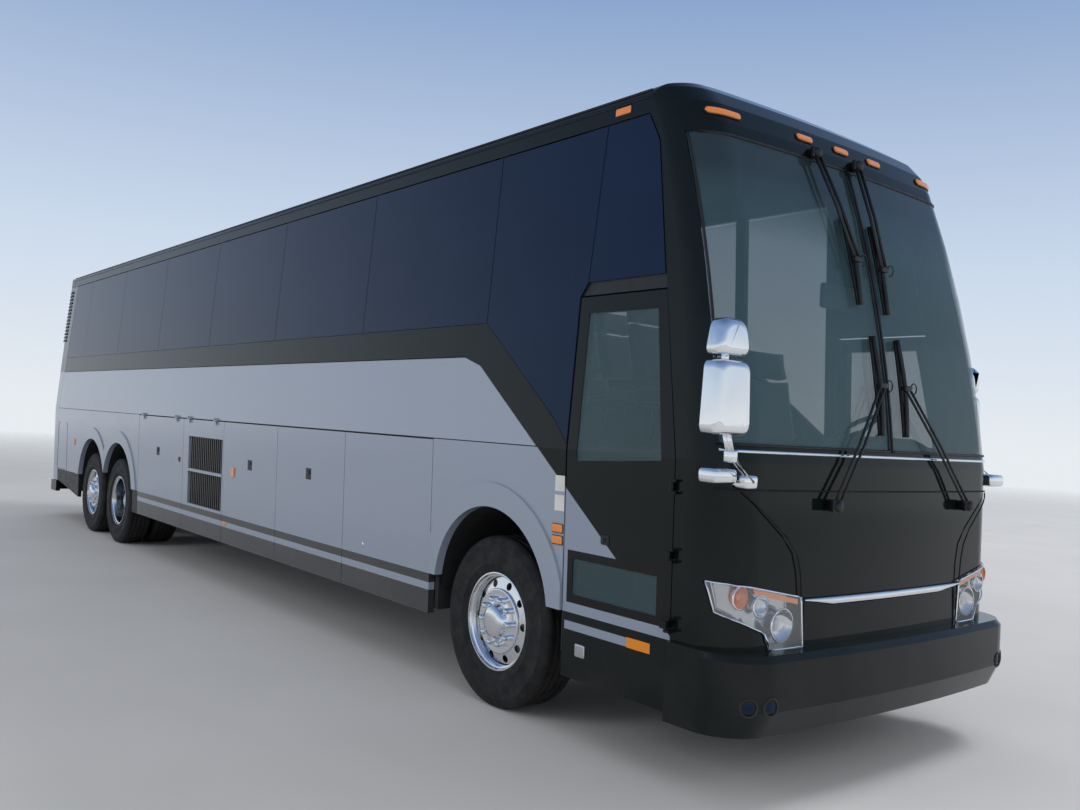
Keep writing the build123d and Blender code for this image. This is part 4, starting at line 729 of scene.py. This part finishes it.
def make_front():
    """Seams of the front mask, and the round lamps at the bumper's corners."""
    nose_bars("front_seams", both(FLAP) + NOSE_SEAMS, 0.004, SEAM_BLACK)
    rings = bmesh.new()
    lamps = bmesh.new()
    for sign in (1, -1):
        for y in BUMPER_LAMPS_Y:
            lean = math.asin(max(y - HALF + CORNER_RADIUS, 0) / CORNER_RADIUS)
            turn = Matrix.Rotation(sign * lean, 3, "Z")
            centre = (plan_x(y, BUMPER_X, HALF), sign * y, BUMPER_LAMPS_Z)
            add_lathe(rings, LAMP_RING, centre, "X", 28, turn)
            add_lathe(lamps, LAMP_FACE, centre, "X", 28, turn)
    from_bmesh("bumper_lamp_rings", rings, "black_rubber")
    from_bmesh("bumper_lamps", lamps, "clear_lens", material=MATERIALS["dark_glass"])


BAR_HALF = 0.735
BAR_TOP_Z = 0.956
BAR_TALL = 0.046
BAR_TAPER = 0.22
BAR_SECTION = ((0.0, -0.004), (0.0, 0.004), (0.12, 0.011), (0.5, 0.013), (0.85, 0.007), (1.0, -0.002),
               (1.0, -0.006))
SILL_TRIM_Z = 1.674


def make_bright_bars():
    """Strip under the windshield, and the tapered bar between the headlights."""
    bm = bmesh.new()
    sill = [(-WINDSHIELD_HALF_LOW, SILL_TRIM_Z), (WINDSHIELD_HALF_LOW, SILL_TRIM_Z)]
    add_tube(bm, [on_nose(y, z, 0.002) for y, z in refine(sill)], 0.009, 10)
    rings = []
    steps = 60
    for i in range(steps + 1):
        y = -BAR_HALF + 2 * BAR_HALF * i / steps
        tall = BAR_TALL * (0.25 + 0.75 * min((BAR_HALF - abs(y)) / BAR_TAPER, 1.0))
        ring = []
        for share, out in BAR_SECTION:
            ring.append(bm.verts.new(on_nose(y, BAR_TOP_Z - tall * share, out)))
        rings.append(ring)
    join_rings(bm, rings)
    bm.faces.new(rings[0])
    bm.faces.new(rings[-1])
    piece = from_bmesh("bright_bars", bm, "chrome")
    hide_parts("front_trim")


def make_windshield_rubbers():
    """Bead around each of the two panes."""
    low, top = SILL_Z + 0.006, GLASS_TOP_Z
    pane = [(DIVIDER_EDGE_Y, low), (WINDSHIELD_HALF_LOW, low), (WINDSHIELD_HALF_TOP, top),
            (DIVIDER_EDGE_Y, top), (DIVIDER_EDGE_Y, low)]
    nose_bars("windshield_rubbers", both(pane), 0.0075)


# Mirrors: side, rear face, inner edge and the arm's route, in metres
MIRRORS = ((-1, 6.65, 1.24, ((6.685, 1.150, 1.530), (6.690, 1.310, 1.650), (6.700, 1.370, 1.790))),
           (1, 6.33, 1.305, ((6.600, 1.320, 1.560), (6.420, 1.370, 1.690), (6.385, 1.400, 1.790))))
MIRROR_OUT_Y = 1.50
STEM_Y = 1.40
FOOT_Y = (1.21, 1.372)


def rounded(corners, radius):
    """Outline with a curve at each corner."""
    steps = 6
    made = []
    for i, corner in enumerate(corners):
        corner = Vector(corner)
        before = corner + (Vector(corners[i - 1]) - corner).normalized() * radius
        after = corner + (Vector(corners[(i + 1) % len(corners)]) - corner).normalized() * radius
        for k in range(steps + 1):
            t = k / steps
            made.append(before * (1 - t) ** 2 + corner * 2 * t * (1 - t) + after * t * t)
    return made


def head_ring(bm, x, box, taper, inset, radius, sign):
    """Ring of points at one depth of a mirror head, whose box is its y, y, z, z."""
    y0, y1, z0, z1 = box
    corners = [(y0 + inset, z0 + inset), (y1 - inset, z0 + inset), (y1 - taper - inset, z1 - inset),
               (y0 + taper + inset, z1 - inset)]
    return [bm.verts.new((x, sign * y, z)) for y, z in rounded(corners, radius)]


def join_rings(bm, rings):
    for a, b in zip(rings, rings[1:]):
        for k in range(len(a)):
            m = (k + 1) % len(a)
            bm.faces.new((a[k], a[m], b[m], b[k]))


def add_head(shell, faces, x, depth, box, taper, sign):
    """Chrome shell that bulges forward, with the mirror set in its rear face."""
    bulge = 0.045
    rings = [head_ring(shell, x + 0.010, box, taper, 0.014, 0.035, sign),
             head_ring(shell, x, box, taper, 0.010, 0.040, sign),
             head_ring(shell, x + 0.003, box, taper, 0.002, 0.046, sign),
             head_ring(shell, x + 0.010, box, taper, 0.0, 0.048, sign)]
    for k in range(9):
        a = math.pi / 2 * k / 8
        along = depth - bulge + bulge * math.sin(a)
        rings.append(head_ring(shell, x + along, box, taper, bulge * 0.85 * (1 - math.cos(a)), 0.048, sign))
    join_rings(shell, rings)
    shell.faces.new(rings[-1])
    faces.faces.new(head_ring(faces, x + 0.008, box, taper, 0.013, 0.036, sign))


def make_mirrors():
    shell = bmesh.new()
    faces = bmesh.new()
    for sign, x, y_in, route in MIRRORS:
        add_head(shell, faces, x, 0.108, (y_in, MIRROR_OUT_Y, 1.745, 2.095), 0.016, sign)
        top_head = (y_in + 0.012, MIRROR_OUT_Y - 0.012, 2.110, 2.285)
        add_head(shell, faces, x + 0.005, 0.094, top_head, 0.034, sign)
        for shift in (-0.013, 0.013):
            points = [(px + shift, sign * py, pz) for px, py, pz in route]
            add_tube(shell, points, 0.010, 12)
        for px, py, pz in (route[1], route[2]):
            add_box(shell, (px - 0.03, sign * py - 0.02, pz - 0.03),
                    (px + 0.03, sign * py + 0.02, pz + 0.03), 0.010)
        add_tube(shell, [(x + 0.055, sign * STEM_Y, z) for z in (2.06, 2.14)], 0.018, 16)
        y0, y1 = sorted(sign * y for y in FOOT_Y)
        add_box(shell, (6.54, y0, 1.517), (6.662, y1, 1.593), 0.022)
    add_box(shell, (6.60, -1.20, 1.495), (6.704, -1.11, 1.565), 0.018)
    piece = from_bmesh("mirror_sets", shell, "chrome")
    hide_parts("mirrors")
    from_bmesh("mirror_faces", faces, "chrome", material=MIRROR_FACE, smooth=False)


def side_frame(x, z, sign):
    """Place and turn of a lens on the side, whose own Z points out and Y up."""
    out = Vector((0, sign, -TUCK if z < CREASE_Z else LEAN)).normalized()
    along = Vector((0, 0, 1)).cross(out).normalized()
    turn = Matrix((along, out.cross(along), out)).transposed().to_4x4()
    return Matrix.Translation((x, sign * skin_y(z), z)) @ turn


def add_lens(bm, at, half_a, half_b, out, radius=0.012):
    """Low rounded block on a surface, with a softened edge."""
    rings = []
    for inset, along in ((0.0, -0.02), (0.0, out * 0.5), (out * 0.15, out * 0.8), (out * 0.45, out * 0.95),
                         (out * 0.9, out)):
        a, b = half_a - inset, half_b - inset
        outline = rounded([(-a, -b), (a, -b), (a, b), (-a, b)], radius)
        rings.append([bm.verts.new(at @ Vector((p.x, p.y, along))) for p in outline])
    join_rings(bm, rings)
    bm.faces.new(rings[-1])
    bm.faces.new(rings[0])


BROW_LAMPS = ((-0.969, 0.232), (-0.339, 0.146), (0.0, 0.146), (0.339, 0.146), (0.969, 0.232))
BROW_LAMP_Z = 3.436
BROW_ANGLE = math.radians(20)
BROW_START_Z = RAKE_Z + RAKE_RADIUS * math.tan(BROW_ANGLE)
BROW_START_X = NOSE_X - (BROW_START_Z - RAKE_Z) ** 2 / (2 * RAKE_RADIUS)
BROW_RADIUS = (HEIGHT - BROW_START_Z) / (1 - math.sin(BROW_ANGLE))
BROW_CENTRE_Z = BROW_START_Z - BROW_RADIUS * math.sin(BROW_ANGLE)
BROW_CENTRE_X = BROW_START_X - BROW_RADIUS * math.cos(BROW_ANGLE)
BROW_LENS_SECTION = ((-1.0, -0.4), (-1.0, 0.3), (-0.8, 0.75), (-0.4, 1.0), (0.4, 1.0), (0.8, 0.75),
                     (1.0, 0.3), (1.0, -0.4))
SIDE_LAMPS = ((5.437, 1.172, 0.098, 0.054), (5.437, 1.106, 0.098, 0.054), (5.705, 3.508, 0.128, 0.050),
              (-5.37, 1.16, 0.060, 0.090))


def on_brow(y, z, out):
    """Place on the brow above the windshield, standing out from it."""
    def surface(y, z):
        front = BROW_CENTRE_X + math.sqrt(BROW_RADIUS ** 2 - (z - BROW_CENTRE_Z) ** 2)
        return Vector((plan_x(y, front, skin_y(z)), y, z))
    here = surface(y, z)
    across = surface(y + 0.002, z) - here
    up = surface(y, z + 0.002) - here
    return here + across.cross(up).normalized() * out


BROW_LENS_TIP = 0.024


def add_brow_lens(bm, y, length, half, out):
    """Lens along the brow that follows its curve and thins towards both tips."""
    rings = []
    count = 26
    for i in range(count + 1):
        share = i / count
        near = min(min(share, 1 - share) * length / BROW_LENS_TIP, 1.0)
        full = math.sqrt(max(1 - (1 - near) ** 2, 0))
        tall = half * (0.25 + 0.75 * full)
        ring = []
        for up, lift in BROW_LENS_SECTION:
            ring.append(bm.verts.new(on_brow(y + (share - 0.5) * length, BROW_LAMP_Z + up * tall,
                                             out * lift * (0.3 + 0.7 * full))))
        rings.append(ring)
    join_rings(bm, rings)
    bm.faces.new(rings[0])
    bm.faces.new(rings[-1])


def make_marker_lenses():
    lenses = bmesh.new()
    bases = bmesh.new()
    for y, length in BROW_LAMPS:
        add_brow_lens(lenses, y, length - 0.012, 0.018, 0.015)
        add_brow_lens(bases, y, length, 0.022, 0.005)
    for sign in (1, -1):
        for x, z, length, height in SIDE_LAMPS:
            at = side_frame(x, z, sign)
            add_lens(lenses, at, length / 2 - 0.004, height / 2 - 0.004, 0.009, 0.008)
            add_lens(bases, at, length / 2, height / 2, 0.004, 0.009)
    piece = from_bmesh("marker_lenses", lenses, "amber_lens")
    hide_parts("marker_lamps")
    from_bmesh("marker_bases", bases, "black_rubber")


ROOF_EDGE_RADIUS = 0.08
ROOF_CROWN = 0.08
FLAP_CORNERS = ((-6.31, 1.41), (-5.81, 1.41), (-5.79, 0.735), (-6.37, 0.735), (-6.31, 1.41))


def make_side_lines():
    """Rain gutters along the roof edges and the outline of the rear side flaps."""
    edge_z = HEIGHT - ROOF_CROWN - ROOF_EDGE_RADIUS
    for side, sign in SIDES:
        bm = bmesh.new()
        for z, inwards, radius in ((edge_z + 0.048, 0.016, 0.008), (edge_z + 0.004, -0.001, 0.004)):
            y = sign * (skin_y(edge_z) - inwards)
            add_tube(bm, [(-6.35, y, z), (0.0, y, z), (5.90, y, z)], radius, 8)
        from_bmesh(f"roof_gutters_{side}", bm, "black_rubber")
        bm = bmesh.new()
        add_tube(bm, [(x, sign * (skin_y(z) - 0.001), z) for x, z in FLAP_CORNERS], 0.0035, 6)
        from_bmesh(f"flap_lines_{side}", bm, "black_rubber", material=SEAM_BLACK)


# Small fittings on the sides, by x and z. The latches have a half size too, and a body each.
LATCHES = ((-1.645, 1.228, 0.046), (0.994, 1.238, 0.046), (2.222, 1.248, 0.046), (-0.925, 1.177, 0.026))
LATCH_BODIES = ("service_door", "bay_door_3", "bay_door_2", "condenser_door")
SIGNS = ((5.445, 1.425), (5.445, 1.315))
SIDE_LAMP = (0.60, 1.147)
STRIP_MARKER = (0.405, 0.64)
BAY_LOCK = (3.18, 0.794)
STEP_LAMP = (5.66, 0.526)
ENTRY_LOCK = (5.834, 1.154)


def side_plate(bm, x, z, half_x, half_z, sign, out=0.004, depth=0.01):
    y = sign * (skin_y(z) + out - depth / 2)
    lean = Matrix.Rotation(-sign * math.atan(TUCK if z < CREASE_Z else -LEAN), 4, "X")
    low = (x - half_x, y - depth / 2, z - half_z)
    high = (x + half_x, y + depth / 2, z + half_z)
    add_box(bm, low, high, min(0.002, depth / 3), lean)


def make_side_fittings():
    for side, sign in SIDES:
        for (x, z, half), name in zip(LATCHES, LATCH_BODIES):
            bm = bmesh.new()
            side_plate(bm, x, z, half, half, sign, 0.003)
            side_plate(bm, x, z + half * 0.3, half * 0.6, half * 0.28, sign, 0.009)
            from_bmesh(f"latch_{name}_{side}", bm, "black_rubber", f"{name}_{side}", smooth=False)
        bm = bmesh.new()
        side_plate(bm, *SIDE_LAMP, 0.035, 0.045, sign, 0.012, 0.02)
        from_bmesh(f"side_lamp_{side}", bm, "amber_lens", f"bay_door_3_{side}", smooth=False)
        bm = bmesh.new()
        for x, z in SIGNS:
            side_plate(bm, x, z, 0.042, 0.045, sign, 0.002, 0.006)
        from_bmesh(f"blank_signs_{side}", bm, "clear_lens", material=SIGN_WHITE, smooth=False)
        bm = bmesh.new()
        add_lens(bm, side_frame(*STRIP_MARKER, sign), 0.045, 0.016, 0.006)
        from_bmesh(f"strip_marker_{side}", bm, "amber_lens", f"bay_door_3_{side}")
        bm = bmesh.new()
        lock = [(0.017, -0.01), (0.017, 0.004), (0.012, 0.006), (0.001, 0.006)]
        x, z = BAY_LOCK
        add_lathe(bm, [(r, sign * a) for r, a in lock], (x, sign * skin_y(z), z), "Y", 24)
        from_bmesh(f"bay_lock_{side}", bm, "chrome", f"bay_door_1_{side}")
        make_louvre(side, sign)
    bm = bmesh.new()
    add_lens(bm, side_frame(*STEP_LAMP, -1), 0.040, 0.036, 0.010)
    from_bmesh("step_lamp", bm, "chrome", "entry_door", BRIGHT)
    bm = bmesh.new()
    x, z = ENTRY_LOCK
    add_lens(bm, side_frame(x, z, -1), 0.032, 0.026, 0.005)
    add_lathe(bm, [(0.010, 0.0), (0.010, -0.012), (0.001, -0.013)], (x, -skin_y(z), z), "Y", 20)
    from_bmesh("entry_lock", bm, "black_rubber", "entry_door")


LOUVRES = 15
LOUVRE_Z = (2.62, 3.40)


def make_louvre(side, sign):
    """Air intake at the rear corner, behind the last pane."""
    low, high = LOUVRE_Z
    bm = bmesh.new()
    for i in range(LOUVRES):
        z = low + (high - low) * (i + 0.5) / LOUVRES
        x = -6.505 + 0.14 * (z - low)
        lean = Matrix.Rotation(sign * 0.35, 4, "X")
        y = sign * (skin_y(z) + 0.001)
        add_box(bm, (x - 0.085, y - 0.005, z - 0.019), (x + 0.085, y + 0.005, z + 0.019), 0.002, lean)
    from_bmesh(f"corner_louvres_{side}", bm, "black_rubber", smooth=False)


# Wheel housings: centre x and z, radius and the inner face's y
LINERS = ((4.78, 0.635, 0.60, 0.53), (DRIVE_X, 0.59, 0.66, 0.56), (TAG_X, 0.59, 0.66, 0.80))


def make_liners():
    """Dark wheel housings behind the arches."""
    count = 32
    for side, sign in SIDES:
        bm = bmesh.new()
        for centre_x, centre_z, radius, inner in LINERS:
            rings = []
            for i in range(count + 1):
                a = math.pi * i / count
                x = centre_x + radius * math.cos(a)
                z = centre_z + radius * math.sin(a)
                rings.append([bm.verts.new((x, sign * y, z)) for y in (skin_y(z) - 0.05, inner)])
            for a, b in zip(rings, rings[1:]):
                bm.faces.new((a[0], b[0], b[1], a[1]))
            back = [bm.verts.new(ring[1].co) for ring in rings]
            bm.faces.new(back)
        from_bmesh(f"wheel_housings_{side}", bm, "black_rubber", material=DARK_LINER, smooth=False)


# Seats

def unit_pad(cuts):
    """Points and faces of a cube two units wide, cut into a grid."""
    bm = bmesh.new()
    bmesh.ops.create_cube(bm, size=2.0)
    bmesh.ops.subdivide_edges(bm, edges=list(bm.edges), cuts=cuts, use_grid_fill=True)
    bm.verts.index_update()
    made = [v.co.copy() for v in bm.verts], [[v.index for v in f.verts] for f in bm.faces]
    bm.free()
    return made


PADS = {cuts: unit_pad(cuts) for cuts in (5, 8)}
PAD_CROWN = 0.10


def add_pad(bm, centre, size, turn, channels=(), cuts=8):
    """Crowned pad with sewn channels across it, given as places along its length."""
    points, faces = PADS[cuts]
    verts = []
    for a, b, c in points:
        pull = 1 - 0.05 * (1 - b * b) * abs(a) ** 6
        side = 1 - 0.06 * (1 - a * a) * abs(b) ** 6
        swell = (1 - PAD_CROWN) + PAD_CROWN * (1 - 0.8 * a * a) * (1 - 0.8 * b * b)
        depth = c * swell * (1 - 0.18 * max(abs(a), abs(b)) ** 8)
        for at in channels:
            depth -= 0.10 * c * math.exp(-((a - at) / 0.05) ** 2)
        narrow = 1 - 0.03 * abs(c)
        spot = Vector((a * pull * narrow * size[0] / 2, b * side * narrow * size[1] / 2, depth * size[2] / 2))
        verts.append(bm.verts.new(turn @ spot + Vector(centre)))
    for face in faces:
        bm.faces.new([verts[i] for i in face])


ARMREST_Y = (0.332, 0.735, 1.138)
CUSHION_Y = (0.532, 0.938)


def add_seat(bm, x, y, width, base_z, back_top, base_length=0.46):
    level = Matrix.Rotation(math.radians(-3), 3, "Y")
    add_pad(bm, (x + base_length / 2 + 0.01, y, base_z + 0.065), (base_length, width, 0.13), level,
            (-0.45, 0.1, 0.62))
    rise = back_top - base_z - 0.11
    lean = math.atan2(0.17, rise)
    length = rise * 0.74
    for share, tall, thick, marks in ((0.37, length, 0.115, (-0.5, 0.0, 0.5)), (0.88, rise * 0.25, 0.10, ())):
        centre = (x + 0.045 - 0.17 * share, y, base_z + 0.12 + rise * share)
        turn = Matrix.Rotation(-math.pi / 2 - lean, 3, "Y")
        add_pad(bm, centre, (tall, width - 0.01, thick), turn, marks, cuts=8 if marks else 5)


def make_seats():
    pads = bmesh.new()
    frames = bmesh.new()
    for i in range(SEAT_ROWS):
        x = SEAT_FRONT_X - i * SEAT_PITCH
        for sign in (1, -1):
            for y in CUSHION_Y:
                add_seat(pads, x, sign * y, 0.385, 1.95, 2.74)
            for y in ARMREST_Y:
                low = (x + 0.06, sign * y - 0.018, 2.13)
                add_box(frames, low, (x + 0.40, sign * y + 0.018, 2.165), 0.008)
            add_box(frames, (x + 0.02, sign * 0.735 - 0.38, 1.93),
                    (x + 0.44, sign * 0.735 + 0.38, 1.955), 0.005)
            for leg in (0.48, 0.99):
                add_box(frames, (x + 0.10, sign * leg - 0.02, 1.62),
                        (x + 0.36, sign * leg + 0.02, 1.94), 0.006)
    piece = from_bmesh("seat_pads", pads, "seat_fabric")
    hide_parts("passenger_seats")
    from_bmesh("seat_frames", frames, "black_steel", smooth=False)
    pads = bmesh.new()
    add_seat(pads, 5.37, 0.64, 0.47, 1.50, 2.33, 0.49)
    piece = from_bmesh("driver_seat_pads", pads, "seat_fabric")
    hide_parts("driver_seat")
    frames = bmesh.new()
    add_box(frames, (5.38, 0.42, 1.455), (5.84, 0.86, 1.50), 0.01)
    add_box(frames, (5.44, 0.50, 1.15), (5.74, 0.78, 1.46), 0.03)
    add_box(frames, (5.50, 0.385, 1.70), (5.78, 0.425, 1.745), 0.012)
    from_bmesh("driver_seat_frame", frames, "black_steel", smooth=False)


def make_cockpit():
    """Instrument hood with its gauges, and the inside mirror."""
    bm = bmesh.new()
    hood = [(6.20, 1.655), (6.40, 1.655), (6.44, 1.73), (6.30, 1.79), (6.22, 1.775)]
    front, back = [[bm.verts.new((x, y, z)) for x, z in hood] for y in (0.38, 0.90)]
    bm.faces.new(front)
    bm.faces.new(list(reversed(back)))
    for i in range(len(hood)):
        j = (i + 1) % len(hood)
        bm.faces.new((front[i], back[i], back[j], front[j]))
    bmesh.ops.bevel(bm, geom=list(bm.edges), offset=0.012, segments=3, affect="EDGES", profile=0.5)
    add_box(bm, (6.20, 0.06, 1.60), (6.24, 0.30, 1.76), 0.01)
    from_bmesh("instrument_hood", bm, "dash_plastic", smooth=False)
    bm = bmesh.new()
    for y in (0.49, 0.64, 0.79):
        add_lathe(bm, [(0.001, 0.0), (0.05, 0.0), (0.056, -0.006), (0.058, 0.004), (0.05, 0.006)],
                  (6.214, y, 1.715), "X", 28)
    from_bmesh("gauges", bm, "chrome")
    bm = bmesh.new()
    add_box(bm, (6.16, 0.03, 2.535), (6.20, 0.36, 2.685), 0.018)
    add_tube(bm, [(6.17, 0.20, 2.66), (6.14, 0.20, 3.00), (6.06, 0.20, 3.50)], 0.008, 8)
    from_bmesh("inside_mirror", bm, "dash_plastic")


# Surroundings

HORIZON = (0.80, 0.84, 0.88)
SKY = ((0.0, HORIZON), (0.16, (0.60, 0.70, 0.84)), (0.42, (0.24, 0.36, 0.60)), (1.0, (0.08, 0.15, 0.32)))
LIGHT_LEVEL = (0.60, 0.61, 0.63)
FLOOR_FADE = (16.0, 48.0)


def make_floor():
    """Plain pale floor that fades into the background far from the bus."""
    bpy.ops.mesh.primitive_plane_add(size=120, location=(0, 0, 0))
    floor = bpy.context.object
    floor.name = "floor"
    material, tree, shader = start("floor", Roughness=0.8)
    tone = mix_colour(tree, ramp(tree, noise(tree, 0.6, 5.0), 0.3, 0.7),
                      (0.53, 0.53, 0.535), (0.57, 0.57, 0.575))
    tree.links.new(tone, shader.inputs["Base Color"])
    away = node(tree, "ShaderNodeVectorMath", operation="LENGTH")
    tree.links.new(coords(tree), away.inputs[0])
    mixed = node(tree, "ShaderNodeMixShader")
    tree.links.new(ramp(tree, away.outputs["Value"], *FLOOR_FADE), mixed.inputs[0])
    tree.links.new(shader.outputs[0], mixed.inputs[1])
    tree.links.new(node(tree, "ShaderNodeBsdfTransparent").outputs[0], mixed.inputs[2])
    tree.links.new(mixed.outputs[0], tree.nodes["Material Output"].inputs["Surface"])
    floor.data.materials.append(material)


def make_world():
    """Even grey light, and a pale sky that the camera, metal and glass see."""
    world = bpy.data.worlds.new("world")
    scene.world = world
    world.use_nodes = True
    tree = world.node_tree
    back = tree.nodes["Background"]
    path = node(tree, "ShaderNodeLightPath").outputs
    seen = math_node(tree, "MAXIMUM", path["Is Camera Ray"], path["Is Glossy Ray"])
    seen = math_node(tree, "MAXIMUM", seen, path["Is Transmission Ray"])
    height = node(tree, "ShaderNodeSeparateXYZ")
    tree.links.new(node(tree, "ShaderNodeTexCoord").outputs["Generated"], height.inputs[0])
    sky = node(tree, "ShaderNodeValToRGB")
    stops = sky.color_ramp.elements
    for at, colour in SKY[1:-1]:
        stops.new(at)
    for stop, (at, colour) in zip(stops, SKY):
        stop.position = at
        stop.color = (*colour, 1)
    tree.links.new(height.outputs[2], sky.inputs[0])
    tree.links.new(mix_colour(tree, seen, LIGHT_LEVEL, sky.outputs[0]), back.inputs["Color"])
    back.inputs["Strength"].default_value = 1.0


LAMPS = (("key", (8, 20, 26), 10, 5000, (2, 0, 1.5)), ("side", (-4, -24, 12), 12, 1500, (-1, 0, 1)),
         ("fill", (22, -4, 10), 9, 700, (4, 0, 1)))


def make_lamps():
    for name, where, size, power, aim in LAMPS:
        light = bpy.data.lights.new(name, "AREA")
        light.size = size
        light.energy = power
        lamp = bpy.data.objects.new(name, light)
        lamp.visible_glossy = False
        lamp.location = where
        lamp.rotation_euler = (Vector(aim) - Vector(where)).to_track_quat("-Z", "Y").to_euler()
        scene.collection.objects.link(lamp)


make_camera()
make_floor()
make_world()
make_lamps()
dress_nodes()
make_tyres()
make_wheel_trim()
make_front()
make_bright_bars()
make_windshield_rubbers()
make_marker_lenses()
make_side_lines()
make_mirrors()
make_headlights()
make_wipers()
make_side_fittings()
make_liners()
make_seats()
make_cockpit()
